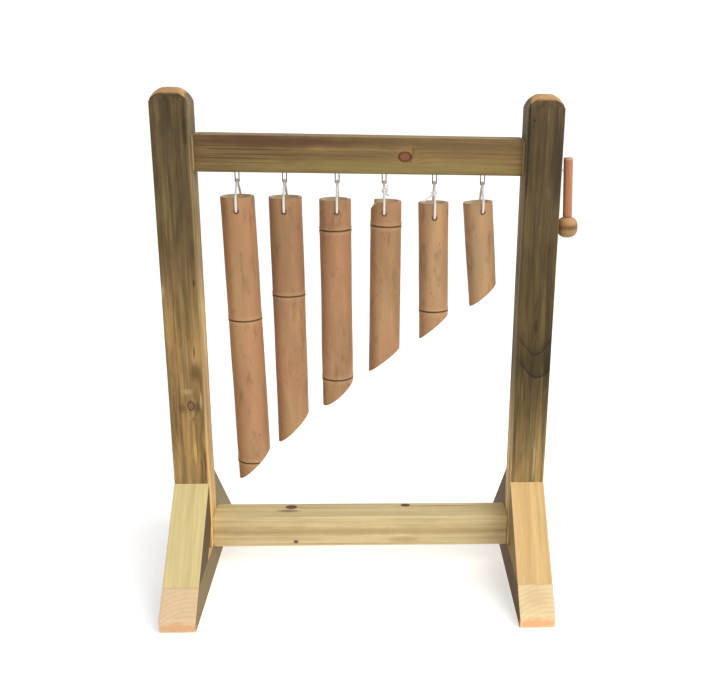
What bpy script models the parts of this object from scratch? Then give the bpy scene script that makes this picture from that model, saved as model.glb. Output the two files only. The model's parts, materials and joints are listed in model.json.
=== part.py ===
"""Outdoor bamboo xylophone.

A free-standing timber frame (two posts, two rails, two ground bearers and four
knee braces) carries six bamboo tubes.  Each tube hangs on a loop of cord from a
wire staple under the top rail.  A wooden beater hangs on a screw in the outer side
of the right post, by a keyhole slot in the back of its handle.

Metres, +Z up, +X along the rails, +Y to the back.  The origin is on the ground,
at the centre of the object's box.
"""
import math

import bmesh
import bpy
from mathutils import Matrix, Vector

# ---------------------------------------------------------------- driving dimensions
GAP = 0.0003                      # clearance between pieces that touch

POST_W = 0.070                    # posts are square
POST_SPACING = 0.689              # between the posts' centre lines
SHOULDER_Z = 0.964                # where the chamfered post top begins
POST_TOP_RISE = 0.025
POST_TOP_INSET = 0.020
ARRIS = 0.0025                    # small chamfer along every timber's long edges

BEARER_H = 0.066
FOOT_REACH = 0.246                # from the middle of the post to the toe
TOE_H = 0.020                     # upright nose under the bevelled end
BRACE_TOP_Z = 0.2125              # where a brace's outer face meets the post
BRACE_T = 0.070                   # brace thickness, square to its slope

RAIL_FRONT = -0.018
RAIL_BACK = 0.045
TOP_RAIL_Z = (0.8384, 0.9062)
BOTTOM_RAIL_Z = (0.0580, 0.1270)

BEATER_HEAD_R = 0.020
BEATER_HEAD_H = 0.0405            # the head is a turned drum with rounded edges
BEATER_Y = -0.012
BEATER_LEAN = math.radians(2.6)   # the head rests on the post, so the handle leans in
HANG_Z = 0.850                    # height of the screw that the beater hangs on
HEAD_BELOW_HANG = 0.108           # from the hanging screw to the head's centre
HANDLE_R = 0.009
HANDLE_ABOVE_HANG = 0.0245
HANDLE_EDGE = 0.002
TENON_R = 0.005
TENON_L = 0.024
HANGER_R = 0.0016                 # hanging screw: shank, head and length in the post
HANGER_HEAD_R = 0.0034
HANGER_HEAD_H = 0.0022
HANGER_DEPTH = 0.022
SLOT_LIP = 0.0022                 # wood left over the keyhole slot's undercut
SLOT_DEPTH = 0.0068
SLOT_TRAVEL = 0.008               # lift that brings the screw's head to the wide hole
SLOT_SLACK = 0.0005

STAPLE_WIRE_R = 0.0011
STAPLE_HALF = 0.0037              # half the distance between a staple's legs
STAPLE_DROP = 0.0205              # its lowest wire below the rail's underside
STAPLE_IN = 0.018                 # length of each leg in the rail
STAPLE_BEND = 0.0016
CORD_R = 0.00225
CORD_CLEAR = 0.0008               # from a cord to the outside of its tube
CORD_BEND = 0.0045
HOLE_R = 0.0045                   # cord hole through both walls of a tube
WALL = 0.005
SEPTUM_HOLE_R = 0.009             # the wall that closes a tube at a node is pierced
SEPTUM_T = 0.004
NODE_RISE = 0.0011                # a node is two low ridges with a groove between them
NODE_RIDGE = 0.003
NODE_REACH = 0.009
NODE_GROOVE = 0.0004
RIM_EDGE = 0.0008

SCREW_R = 0.0028
SCREW_HEAD_R = 0.0055
RAIL_SCREW_L = 0.130
RAIL_SCREW_IN = 0.017             # from a rail's upper or lower face
BRACE_SCREW_L = 0.094
BRACE_SCREW_Y = 0.125
COACH_Y = -0.012
COACH_R = 0.004
COACH_L = 0.110
COACH_HEAD_R = 0.0075
COACH_HEAD_H = 0.0055
COACH_POINT = 0.008
COUNTERBORE_R = 0.0125
COUNTERBORE_D = 0.014
WASHER_R = 0.011
WASHER_T = 0.0015
DOWEL_R = 0.005
DOWEL_L = 0.060
DOWEL_EDGE = 0.001
DOWEL_Z = 0.165

# One row for each tube, longest first: the staple's place along the rail and the tube
# axis's offset from it, the top's and the tip's heights, the hole's drop below the
# top, the top and bottom radii, the lean, the rise and the turn of the slanting cut,
# and the heights of the bamboo's nodes.
TUBES = (
    dict(at=-0.2330, shift=-0.0008, top=0.7905, tip=0.208, drop=0.0248, r=(0.0323, 0.0332),
         lean=1.4, rise=0.063, turn=10.0, nodes=(0.551, 0.249)),
    dict(at=-0.1436, shift=0.0004, top=0.7900, tip=0.289, drop=0.0245, r=(0.0319, 0.0318),
         lean=0.6, rise=0.063, turn=9.0, nodes=(0.600,)),
    dict(at=-0.0440, shift=-0.0044, top=0.7870, tip=0.369, drop=0.0215, r=(0.0307, 0.0311),
         lean=0.2, rise=0.054, turn=16.0, nodes=(0.7295, 0.4290)),
    dict(at=0.0455, shift=0.0040, top=0.7850, tip=0.439, drop=0.0210, r=(0.0298, 0.0310),
         lean=-0.5, rise=0.051, turn=-8.0, nodes=(0.7390,)),
    dict(at=0.1420, shift=-0.0008, top=0.7830, tip=0.509, drop=0.0265, r=(0.0291, 0.0286),
         lean=1.1, rise=0.049, turn=-9.0, nodes=(0.570,)),
    dict(at=0.2345, shift=-0.0064, top=0.7855, tip=0.580, drop=0.0165, r=(0.0287, 0.0278),
         lean=4.8, rise=0.042, turn=2.0, nodes=()),
)
CHIPPED_TUBE = 4                  # this tube has a piece broken out of its rim
CHIP_TILT = math.radians(37)
CHIP_LOW = (-0.030, -0.014, -0.009)    # the missing piece's box, about the rim's left side
CHIP_HIGH = (0.0055, 0.030, 0.020)
CHIP_Y = -0.012
CHIP_OUT = 0.002
CHIP_DOWN = 0.0105
SPARE = 0.004                     # tubes and their cutters run this far past each other
BLOCK = 0.14                      # half the size of the block that cuts a tube's end
TUBE_SIDES = 28

# ---------------------------------------------------------------- derived dimensions
HALF_W = POST_W / 2
POST_X = POST_SPACING / 2
HEAD_REACH = 2 * BEATER_HEAD_R + GAP                  # beater's outermost side from the post
FRAME_X = -HEAD_REACH / 2                             # frame's middle in the object's box
INNER_X = POST_X - HALF_W
RAIL_Y = (RAIL_FRONT + RAIL_BACK) / 2
SLOPE = (BRACE_TOP_Z - TOE_H) / (FOOT_REACH - HALF_W)
SLOPE_ANGLE = math.atan(SLOPE)
WIRE_Z = TOP_RAIL_Z[0] - STAPLE_DROP                  # the wire that the cord hangs on
OUTER_X = FRAME_X + POST_X + HALF_W                   # right post's outer face
HANDLE_X = OUTER_X + BEATER_HEAD_R + GAP - HEAD_BELOW_HANG * math.sin(BEATER_LEAN)

COLOURS = {
    "post_timber": (0.150, 0.112, 0.062),
    "rail_timber": (0.230, 0.165, 0.080),
    "foot_timber": (0.560, 0.410, 0.220),
    "bamboo": (0.420, 0.250, 0.120),
    "cord": (0.780, 0.760, 0.720),
    "dark_steel": (0.050, 0.042, 0.036),
    "zinc": (0.560, 0.560, 0.550),
    "handle_wood": (0.330, 0.130, 0.060),
    "head_wood": (0.520, 0.330, 0.160),
}
METALS = {"dark_steel": 0.45, "zinc": 0.35}


# ---------------------------------------------------------------- helpers
def clear_scene():
    for obj in list(bpy.data.objects):
        bpy.data.objects.remove(obj, do_unlink=True)


def material(slot):
    found = bpy.data.materials.get(slot)
    if found:
        return found
    made = bpy.data.materials.new(slot)
    made.use_nodes = True
    shader = made.node_tree.nodes["Principled BSDF"]
    shader.inputs["Base Color"].default_value = (*COLOURS[slot], 1.0)
    shader.inputs["Metallic"].default_value = 1.0 if slot in METALS else 0.0
    shader.inputs["Roughness"].default_value = METALS.get(slot, 0.75)
    return made


def add_object(name, bm, slot, location=(0, 0, 0), rotation=(0, 0, 0), smooth=None):
    """Link a bmesh as a named object whose origin is the bmesh's own zero."""
    bmesh.ops.recalc_face_normals(bm, faces=bm.faces)
    mesh = bpy.data.meshes.new(name)
    bm.to_mesh(mesh)
    bm.free()
    if slot:
        mesh.materials.append(material(slot))
    if smooth:
        mesh.shade_smooth()
        mesh.set_sharp_from_angle(angle=math.radians(smooth))
    obj = bpy.data.objects.new(name, mesh)
    obj.location = location
    obj.rotation_euler = rotation
    bpy.context.collection.objects.link(obj)
    return obj


def prism(outline, x_low, x_high):
    """A solid from an outline in the YZ plane, drawn out along X."""
    bm = bmesh.new()
    face = bm.faces.new([bm.verts.new((x_low, y, z)) for y, z in outline])
    moved = bmesh.ops.extrude_face_region(bm, geom=[face])["geom"]
    verts = [v for v in moved if isinstance(v, bmesh.types.BMVert)]
    bmesh.ops.translate(bm, verts=verts, vec=(x_high - x_low, 0, 0))
    return bm


def box(low, high):
    outline = ((low[1], low[2]), (high[1], low[2]), (high[1], high[2]), (low[1], high[2]))
    return prism(outline, low[0], high[0])


def lathe(profile, sides):
    """Turn (radius, z) points about Z.  A radius of zero closes the shape on the axis."""
    bm = bmesh.new()
    rings = []
    for radius, z in profile:
        if radius == 0.0:
            rings.append([bm.verts.new((0, 0, z))])
            continue
        turns = [2 * math.pi * k / sides for k in range(sides)]
        rings.append([bm.verts.new((radius * math.cos(a), radius * math.sin(a), z)) for a in turns])
    pairs = list(zip(rings, rings[1:]))
    if len(rings[0]) > 1:
        pairs.append((rings[-1], rings[0]))
    for one, two in pairs:
        for k in range(sides):
            after = (k + 1) % sides
            corners = [one[k % len(one)], one[after % len(one)], two[after % len(two)], two[k % len(two)]]
            bm.faces.new(list(dict.fromkeys(corners)))
    return bm


def turned(bm, direction, place):
    """Move a piece modelled up the Z axis so that it points along direction at place."""
    turn = Vector((0, 0, 1)).rotation_difference(Vector(direction)).to_matrix().to_4x4()
    bmesh.ops.transform(bm, matrix=Matrix.Translation(place) @ turn, verts=bm.verts)
    return bm


def joined(parts):
    """One bmesh that holds several separate closed shapes, used for cutters."""
    whole = bmesh.new()
    for part in parts:
        mesh = bpy.data.meshes.new("part_of_cutter")
        part.to_mesh(mesh)
        part.free()
        whole.from_mesh(mesh)
        bpy.data.meshes.remove(mesh)
    return whole


def cut(target, cutter_bm, name):
    cutter = add_object(name, cutter_bm, None)
    cutter.location = target.location
    cutter.rotation_euler = target.rotation_euler
    cutter.hide_render = True
    cutter.display_type = "WIRE"
    boolean = target.modifiers.new(name, "BOOLEAN")
    boolean.operation = "DIFFERENCE"
    boolean.solver = "EXACT"
    boolean.object = cutter


def soften(obj, width=ARRIS):
    bevel = obj.modifiers.new("arris", "BEVEL")
    bevel.width = width
    bevel.segments = 1
    bevel.limit_method = "ANGLE"
    bevel.angle_limit = math.radians(50)


def wire(name, points, radius, slot, location, cyclic=False):
    """A round wire or cord along points, as a bevelled poly curve with filled ends."""
    curve = bpy.data.curves.new(name, "CURVE")
    curve.dimensions = "3D"
    curve.bevel_depth = radius
    curve.bevel_resolution = 1
    curve.use_fill_caps = True
    spline = curve.splines.new("POLY")
    spline.points.add(len(points) - 1)
    for point, place in zip(spline.points, points):
        point.co = (*place, 1.0)
    spline.use_cyclic_u = cyclic
    curve.materials.append(material(slot))
    obj = bpy.data.objects.new(name, curve)
    obj.location = location
    bpy.context.collection.objects.link(obj)
    return obj


def fillet(before, corner, after, radius, steps=4):
    """Points of an arc of this radius that rounds a corner."""
    corner = Vector(corner)
    to_before = (Vector(before) - corner).normalized()
    to_after = (Vector(after) - corner).normalized()
    half = to_before.angle(to_after) / 2
    centre = corner + (to_before + to_after).normalized() * (radius / math.sin(half))
    start = corner + to_before * (radius / math.tan(half)) - centre
    end = corner + to_after * (radius / math.tan(half)) - centre
    return [centre + start.slerp(end, k / steps) * radius for k in range(steps + 1)]


# ---------------------------------------------------------------- screws and dowels
def wood_screw(length, slack=0.0):
    """Countersunk screw pointing up from its head's face at z = 0, or with slack its hole."""
    head_h = SCREW_HEAD_R - SCREW_R
    tip = length - 3 * SCREW_R
    if slack:
        points = [(0.0, -slack), (SCREW_HEAD_R + slack, -slack), (SCREW_HEAD_R + slack, slack)]
    else:
        recess_r = 0.4 * SCREW_HEAD_R
        points = [(0.0, recess_r), (0.8 * recess_r, 0.3 * recess_r), (recess_r, 0.0), (SCREW_HEAD_R, 0.0)]
    points += [(SCREW_R + slack, head_h + slack), (SCREW_R + slack, tip), (0.0, length + slack)]
    return lathe(points, 10)


def drilled(radius, length):
    return lathe([(0.0, -GAP), (radius, -GAP), (radius, length), (0.0, length)], 12)


def dowel():
    """Round pin along Z with chamfered ends, about its own middle."""
    half = DOWEL_L / 2
    return lathe([(0.0, -half), (DOWEL_R - DOWEL_EDGE, -half), (DOWEL_R, DOWEL_EDGE - half),
                  (DOWEL_R, half - DOWEL_EDGE), (DOWEL_R - DOWEL_EDGE, half), (0.0, half)], 12)


# ---------------------------------------------------------------- frame timbers
def side_x(side):
    return FRAME_X + side * POST_X


def rail_screw_places(side):
    """Rail screws go in from a post's outer face; each entry is name and place."""
    x = side_x(side) + side * HALF_W
    word = "left" if side < 0 else "right"
    for rail, (low, high) in (("top", TOP_RAIL_Z), ("bottom", BOTTOM_RAIL_Z)):
        for level, z in (("lower", low + RAIL_SCREW_IN), ("upper", high - RAIL_SCREW_IN)):
            yield f"{rail}_rail_screw_{word}_{level}", (x, RAIL_Y, z)


def coach_place(side):
    return (side_x(side), COACH_Y, 0.0)


def dowel_middle(side, end):
    """Centre of a brace dowel: half in the post, half in the brace."""
    return (side_x(side), end * HALF_W, DOWEL_Z)


def build_post(name, side):
    x = side_x(side)
    base = BEARER_H + GAP
    bm = box((x - HALF_W, -HALF_W, base), (x + HALF_W, HALF_W, SHOULDER_Z))
    top = max(bm.faces, key=lambda f: f.calc_center_median().z)
    moved = bmesh.ops.extrude_face_region(bm, geom=[top])["geom"]
    bmesh.ops.delete(bm, geom=[top], context="FACES_ONLY")
    verts = [v for v in moved if isinstance(v, bmesh.types.BMVert)]
    bmesh.ops.translate(bm, verts=verts, vec=(0, 0, POST_TOP_RISE))
    shrink = 1 - POST_TOP_INSET / HALF_W
    bmesh.ops.scale(bm, verts=verts, vec=(shrink, shrink, 1), space=Matrix.Translation((-x, 0, 0)))
    post = add_object(name, bm, "post_timber")
    soften(post)
    holes = []
    for _, place in rail_screw_places(side):
        hole = wood_screw(RAIL_SCREW_L, GAP)
        holes.append(turned(hole, (-side, 0, 0), place))
    x_coach, y_coach, _ = coach_place(side)
    coach_depth = COUNTERBORE_D + COACH_L - base
    holes.append(turned(drilled(COACH_R + GAP, coach_depth), (0, 0, 1), (x_coach, y_coach, base)))
    for end in (-1, 1):
        hole = drilled(DOWEL_R + GAP, DOWEL_L / 2 + GAP)
        holes.append(turned(hole, (0, -end, 0), dowel_middle(side, end)))
    if side > 0:
        hole = drilled(HANGER_R + GAP, HANGER_DEPTH + GAP)
        holes.append(turned(hole, (-1, 0, 0), (OUTER_X, BEATER_Y, HANG_Z)))
    cut(post, joined(holes), f"{name}_holes")


def build_rail(name, heights):
    low = (FRAME_X - INNER_X + GAP, RAIL_FRONT, heights[0])
    high = (FRAME_X + INNER_X - GAP, RAIL_BACK, heights[1])
    rail = add_object(name, box(low, high), "rail_timber")
    soften(rail)
    holes = []
    for side in (-1, 1):
        for screw, place in rail_screw_places(side):
            if screw.startswith(name):
                hole = wood_screw(RAIL_SCREW_L, GAP)
                holes.append(turned(hole, (-side, 0, 0), place))
    if name == "top_rail":
        for tube in TUBES:
            for leg in (-STAPLE_HALF, STAPLE_HALF):
                hole = drilled(STAPLE_WIRE_R + GAP, STAPLE_IN + GAP)
                holes.append(turned(hole, (0, 0, 1), (FRAME_X + tube["at"] + leg, RAIL_Y, heights[0])))
    cut(rail, joined(holes), f"{name}_holes")


def build_bearer(name, side):
    x = side_x(side)
    bevel_y = FOOT_REACH - (BEARER_H - TOE_H) / SLOPE
    outline = ((-FOOT_REACH, 0), (FOOT_REACH, 0), (FOOT_REACH, TOE_H), (bevel_y, BEARER_H),
               (-bevel_y, BEARER_H), (-FOOT_REACH, TOE_H))
    bearer = add_object(name, prism(outline, x - HALF_W, x + HALF_W), "foot_timber")
    soften(bearer)
    holes = []
    for end in (-1, 1):
        hole = wood_screw(BRACE_SCREW_L, GAP)
        holes.append(turned(hole, (0, 0, 1), (x, end * BRACE_SCREW_Y, 0)))
    stepped = [(0.0, -GAP), (COUNTERBORE_R, -GAP), (COUNTERBORE_R, COUNTERBORE_D),
               (COACH_R + GAP, COUNTERBORE_D), (COACH_R + GAP, COACH_L), (0.0, COACH_L)]
    holes.append(turned(lathe(stepped, 16), (0, 0, 1), coach_place(side)))
    cut(bearer, joined(holes), f"{name}_holes")


def build_brace(name, side, end):
    """Knee brace: its outer face runs on in the plane of the bearer's bevelled end."""
    x = side_x(side)
    foot_z = BEARER_H + GAP
    face_y = HALF_W + GAP
    lean_run = BRACE_T / math.sin(SLOPE_ANGLE)
    toe_y = FOOT_REACH - (foot_z - TOE_H) / SLOPE
    top_z = TOE_H + (FOOT_REACH - face_y) * SLOPE
    outline = ((toe_y, foot_z), (face_y, top_z), (face_y, top_z - lean_run * SLOPE), (toe_y - lean_run, foot_z))
    outline = [(end * y, z) for y, z in outline]
    brace = add_object(name, prism(outline, x - HALF_W, x + HALF_W), "foot_timber")
    holes = [turned(wood_screw(BRACE_SCREW_L, GAP), (0, 0, 1), (x, end * BRACE_SCREW_Y, 0)),
             turned(drilled(DOWEL_R + GAP, DOWEL_L / 2 + GAP), (0, end, 0), dowel_middle(side, end))]
    cut(brace, joined(holes), f"{name}_holes")


def build_fixings():
    for side in (-1, 1):
        word = "left" if side < 0 else "right"
        for name, place in rail_screw_places(side):
            screw = wood_screw(RAIL_SCREW_L)
            add_object(name, turned(screw, (-side, 0, 0), place), "zinc", smooth=40)
        for end in (-1, 1):
            where = f"{word}_{'front' if end < 0 else 'rear'}"
            screw = wood_screw(BRACE_SCREW_L)
            place = (side_x(side), end * BRACE_SCREW_Y, GAP)
            add_object(f"brace_screw_{where}", turned(screw, (0, 0, 1), place), "zinc", smooth=40)
            add_object(f"brace_dowel_{where}", turned(dowel(), (0, 1, 0), dowel_middle(side, end)),
                       "foot_timber", smooth=40)
        build_coach_screw(word, side)


def build_coach_screw(word, side):
    x, y, _ = coach_place(side)
    seat = COUNTERBORE_D - WASHER_T - 2 * GAP
    head = lathe([(0.0, 0.0), (COACH_HEAD_R, 0.0), (COACH_HEAD_R, COACH_HEAD_H), (COACH_R, COACH_HEAD_H),
                  (COACH_R, COACH_L - COACH_POINT), (0.0, COACH_L)], 6)
    add_object(f"coach_screw_{word}", turned(head, (0, 0, 1), (x, y, seat - COACH_HEAD_H)), "zinc", smooth=40)
    hole_r = COACH_R + GAP
    ring = lathe([(hole_r, 0.0), (WASHER_R, 0.0), (WASHER_R, WASHER_T), (hole_r, WASHER_T)], 20)
    add_object(f"coach_washer_{word}", turned(ring, (0, 0, 1), (x, y, seat + GAP)), "zinc", smooth=40)


# ---------------------------------------------------------------- chimes
def tube_profile(tube):
    """Outer and inner wall of one bamboo tube about its own axis, zero at the cord hole."""
    top = tube["drop"]
    bottom = tube["tip"] - tube["top"] + tube["drop"] - SPARE
    length = top - bottom

    def outer(z):
        return tube["r"][0] + (tube["r"][1] - tube["r"][0]) * (top - z) / length

    outside = [(outer(top) - RIM_EDGE, top), (outer(top), top - RIM_EDGE)]
    inside = [(outer(top) - WALL, top)]
    for height in tube["nodes"]:
        z = height - tube["top"] + tube["drop"]
        ridge = outer(z) + NODE_RISE
        outside += [(outer(z), z + NODE_REACH), (ridge, z + NODE_RIDGE), (outer(z) - NODE_GROOVE, z)]
        outside += [(ridge, z - NODE_RIDGE), (outer(z), z - NODE_REACH)]
        inner = outer(z) - WALL
        inside += [(inner, z + SEPTUM_T), (SEPTUM_HOLE_R, z + SEPTUM_T / 2)]
        inside += [(SEPTUM_HOLE_R, z - SEPTUM_T / 2), (inner, z - SEPTUM_T)]
    outside.append((outer(bottom), bottom))
    inside.append((outer(bottom) - WALL, bottom))
    return outside + inside[::-1]


def slant_cutter(tube):
    """A block that takes the tube's end off along a slanting plane, tip at the left."""
    radius = tube["r"][1]
    angle = math.atan(tube["rise"] / (2 * radius))
    block = box((-BLOCK, -BLOCK, -BLOCK), (BLOCK, BLOCK, 0))
    tip_z = tube["tip"] - tube["top"] + tube["drop"]
    turn = Matrix.Rotation(math.radians(tube["turn"]), 4, "Z")
    tilt = Matrix.Rotation(-angle, 4, "Y")
    centre = Matrix.Translation((tube["shift"], 0, tip_z + tube["rise"] / 2))
    bmesh.ops.transform(block, matrix=centre @ turn @ tilt, verts=block.verts)
    return block


def build_tube(number, tube):
    name = f"bamboo_tube_{number}"
    body = lathe(tube_profile(tube), TUBE_SIDES)
    bmesh.ops.translate(body, verts=body.verts, vec=(tube["shift"], 0, 0))
    place = (FRAME_X + tube["at"], RAIL_Y, tube["top"] - tube["drop"])
    lean = (0, -math.radians(tube["lean"]), 0)
    obj = add_object(name, body, "bamboo", place, lean, smooth=50)
    reach = tube["r"][0] + SPARE
    bore = lathe([(0.0, -reach), (HOLE_R, -reach), (HOLE_R, reach), (0.0, reach)], 12)
    cut(obj, turned(bore, (0, 1, 0), (0, 0, 0)), f"{name}_cord_hole")
    cut(obj, slant_cutter(tube), f"{name}_slant")
    if number == CHIPPED_TUBE:
        chip = box(CHIP_LOW, CHIP_HIGH)
        tilt = Matrix.Rotation(CHIP_TILT, 4, "Y")
        rim = Matrix.Translation((tube["shift"] - tube["r"][0] - CHIP_OUT, CHIP_Y, tube["drop"] - CHIP_DOWN))
        bmesh.ops.transform(chip, matrix=rim @ tilt, verts=chip.verts)
        cut(obj, chip, f"{name}_chip")


def cord_height(tube):
    """Drop from the wire that a cord hangs on to the cord hole."""
    return WIRE_Z - (tube["top"] - tube["drop"])


def cord_path(tube):
    """Closed loop in the YZ plane: over the staple's wire, down past both lips, through the tube."""
    turn_r = STAPLE_WIRE_R + GAP + CORD_R
    side_y = tube["r"][0] + CORD_R + CORD_CLEAR
    lip_z = tube["drop"] + CORD_CLEAR - cord_height(tube)
    hole_z = -cord_height(tube)
    corners = [(-side_y, lip_z), (-side_y, hole_z), (side_y, hole_z), (side_y, lip_z)]
    corners = [Vector((0, y, z)) for y, z in corners]
    crown = []
    for degrees in (60, 40, 20, 0, -20, -40, -60):
        angle = math.radians(degrees)
        crown.append(Vector((0, turn_r * math.sin(angle), turn_r * math.cos(angle))))
    points = list(crown)
    chain = [crown[-1], *corners, crown[0]]
    for k in (1, 2, 3, 4):
        points += fillet(chain[k - 1], chain[k], chain[k + 1], CORD_BEND, 3)
    return points


def build_cord(number, tube):
    place = (FRAME_X + tube["at"], RAIL_Y, WIRE_Z)
    wire(f"hanging_cord_{number}", cord_path(tube), CORD_R, "cord", place, cyclic=True)


def build_staple(number, tube):
    """U of wire, its legs in the rail and its square bend below it."""
    top = STAPLE_DROP + STAPLE_IN
    corners = [(-STAPLE_HALF, 0, top), (-STAPLE_HALF, 0, 0), (STAPLE_HALF, 0, 0), (STAPLE_HALF, 0, top)]
    points = [Vector(corners[0])]
    for k in (1, 2):
        points += fillet(corners[k - 1], corners[k], corners[k + 1], STAPLE_BEND)
    points.append(Vector(corners[3]))
    wire(f"wire_staple_{number}", points, STAPLE_WIRE_R, "dark_steel", (FRAME_X + tube["at"], RAIL_Y, WIRE_Z))


# ---------------------------------------------------------------- beater and its screw
def build_beater():
    place = (HANDLE_X, BEATER_Y, HANG_Z)
    lean = (0, -BEATER_LEAN, 0)
    head_top = BEATER_HEAD_H / 2 - HEAD_BELOW_HANG
    foot = head_top + GAP
    handle = lathe([(0.0, foot - TENON_L), (TENON_R, foot - TENON_L), (TENON_R, foot), (HANDLE_R, foot),
                    (HANDLE_R, HANDLE_ABOVE_HANG - HANDLE_EDGE), (HANDLE_R - HANDLE_EDGE, HANDLE_ABOVE_HANG),
                    (0.0, HANDLE_ABOVE_HANG)], 24)
    obj = add_object("beater_handle", handle, "handle_wood", place, lean, smooth=40)
    for number, cutter in enumerate(keyhole(), start=1):
        cut(obj, cutter, f"beater_keyhole_{number}")

    half_h = BEATER_HEAD_H / 2
    bore = TENON_R + GAP
    squareness = 0.78                 # 1 would be a ball, 0 a plain drum
    flat = math.radians(12)           # the turned side meets the flat ends here
    outside = []
    for k in range(13):
        angle = (math.pi / 2 - flat) * (k / 6 - 1)
        radius = BEATER_HEAD_R * math.cos(angle) ** squareness
        outside.append((radius, half_h * math.copysign(abs(math.sin(angle)) ** squareness, angle)))
    outside[0] = (outside[0][0], -half_h)
    outside[-1] = (outside[-1][0], half_h)
    floor = half_h - TENON_L
    head = lathe([(0.0, -half_h), *outside, (bore, half_h), (bore, floor), (0.0, floor)], 24)
    bmesh.ops.translate(head, verts=head.verts, vec=(0, 0, -HEAD_BELOW_HANG))
    add_object("beater_head", head, "head_wood", place, lean, smooth=40)


def keyhole():
    """Cutters for the slot in the handle's back: wide hole below, undercut slot above it."""
    narrow = HANGER_R + SLOT_SLACK
    wide = HANGER_HEAD_R + SLOT_SLACK
    back = -HANDLE_R - SLOT_SLACK
    bottom = -HANDLE_R + SLOT_DEPTH
    yield turned(drilled(wide, bottom - back), (1, 0, 0), (back, 0, -SLOT_TRAVEL))
    for half, start in ((narrow, back), (wide, -HANDLE_R + SLOT_LIP)):
        yield box((start, -half, -SLOT_TRAVEL), (bottom - GAP, half, half))


def build_hanger():
    """Pan-head screw: its head stands off the post, inside the beater's keyhole slot."""
    back_x = HANDLE_X - HANDLE_R / math.cos(BEATER_LEAN)
    under_head = back_x + SLOT_LIP + SLOT_SLACK - OUTER_X
    length = HANGER_HEAD_H + under_head + HANGER_DEPTH
    edge = 0.4 * HANGER_HEAD_H
    profile = [(0.0, 0.0), (HANGER_HEAD_R - edge, 0.0), (HANGER_HEAD_R, edge), (HANGER_HEAD_R, HANGER_HEAD_H),
               (HANGER_R, HANGER_HEAD_H), (HANGER_R, length - 3 * HANGER_R), (0.0, length)]
    start = (OUTER_X + under_head + HANGER_HEAD_H, BEATER_Y, HANG_Z)
    add_object("beater_hanging_screw", turned(lathe(profile, 16), (-1, 0, 0), start), "zinc", smooth=40)


def main():
    clear_scene()
    for side, word in ((-1, "left"), (1, "right")):
        build_post(f"{word}_post", side)
        build_bearer(f"{word}_bearer", side)
        for end, place in ((-1, "front"), (1, "rear")):
            build_brace(f"{word}_{place}_brace", side, end)
    build_rail("top_rail", TOP_RAIL_Z)
    build_rail("bottom_rail", BOTTOM_RAIL_Z)
    build_fixings()
    for number, tube in enumerate(TUBES, start=1):
        build_staple(number, tube)
        build_cord(number, tube)
        build_tube(number, tube)
    build_beater()
    build_hanger()


main()
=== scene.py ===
"""Looks of the outdoor bamboo xylophone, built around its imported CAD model.

The timbers, bamboo tubes, cords, staples, beater and wood screws are fine meshes that stand
for their CAD nodes.  Dowels, coach screws and washers are the CAD meshes themselves.
Metres, +Z up, +X along the rails, +Y to the back.
"""
import json
import math

import bmesh
import bpy
from mathutils import Matrix, Vector, noise

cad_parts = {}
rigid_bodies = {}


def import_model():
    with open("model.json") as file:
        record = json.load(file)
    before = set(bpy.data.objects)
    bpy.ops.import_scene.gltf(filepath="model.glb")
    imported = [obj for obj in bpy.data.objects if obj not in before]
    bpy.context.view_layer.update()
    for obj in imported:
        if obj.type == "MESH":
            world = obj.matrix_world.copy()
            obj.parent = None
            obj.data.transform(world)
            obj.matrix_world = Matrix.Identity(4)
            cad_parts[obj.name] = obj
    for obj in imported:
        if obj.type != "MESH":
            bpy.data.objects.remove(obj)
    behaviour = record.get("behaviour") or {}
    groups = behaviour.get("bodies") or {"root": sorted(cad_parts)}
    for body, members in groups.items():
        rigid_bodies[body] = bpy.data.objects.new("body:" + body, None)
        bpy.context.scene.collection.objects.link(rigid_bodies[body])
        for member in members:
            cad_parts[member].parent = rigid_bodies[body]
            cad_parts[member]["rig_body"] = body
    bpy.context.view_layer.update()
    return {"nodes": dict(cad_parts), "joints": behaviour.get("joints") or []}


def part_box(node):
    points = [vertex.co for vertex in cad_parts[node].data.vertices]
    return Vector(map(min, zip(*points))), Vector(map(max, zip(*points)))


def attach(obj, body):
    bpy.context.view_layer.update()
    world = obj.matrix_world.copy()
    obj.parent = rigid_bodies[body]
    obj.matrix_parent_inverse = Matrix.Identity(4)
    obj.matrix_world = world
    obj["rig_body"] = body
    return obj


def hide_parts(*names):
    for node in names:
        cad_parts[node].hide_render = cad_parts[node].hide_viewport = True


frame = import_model()
JOINTS = {joint["name"]: joint for joint in frame["joints"]}

# ---------------------------------------------------------------- camera
CAMERA_PLACE = (0.01524, -1.84034, 1.05392)
CAMERA_YAW = math.radians(-3.574)
CAMERA_PITCH = math.radians(-17.986)
CAMERA_ROLL = math.radians(1.222)
LENS_MM = 47.505
SHIFT = (-0.1004, 0.0214)

# ---------------------------------------------------------------- timber
POST_ARRIS = 0.0035
RAIL_ARRIS = 0.0022
FOOT_ARRIS = 0.0012
TOE_H = 0.020                     # upright nose under a bearer's bevelled end
BRACE_T = 0.070
FIGURE_FRONT = -0.0335            # figures show only where a post's face is in front of this
# How far in from the side, and how far up from the shoulder, the rounded post top runs.
POST_TOP = ((0.0000, 0.0000), (0.0006, 0.0010), (0.0026, 0.0066), (0.0056, 0.0120), (0.0096, 0.0172),
            (0.0140, 0.0212), (0.0188, 0.0238), (0.0220, 0.0246), (0.0260, 0.0249))
POST_TOP_RISE = 0.0250

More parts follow.
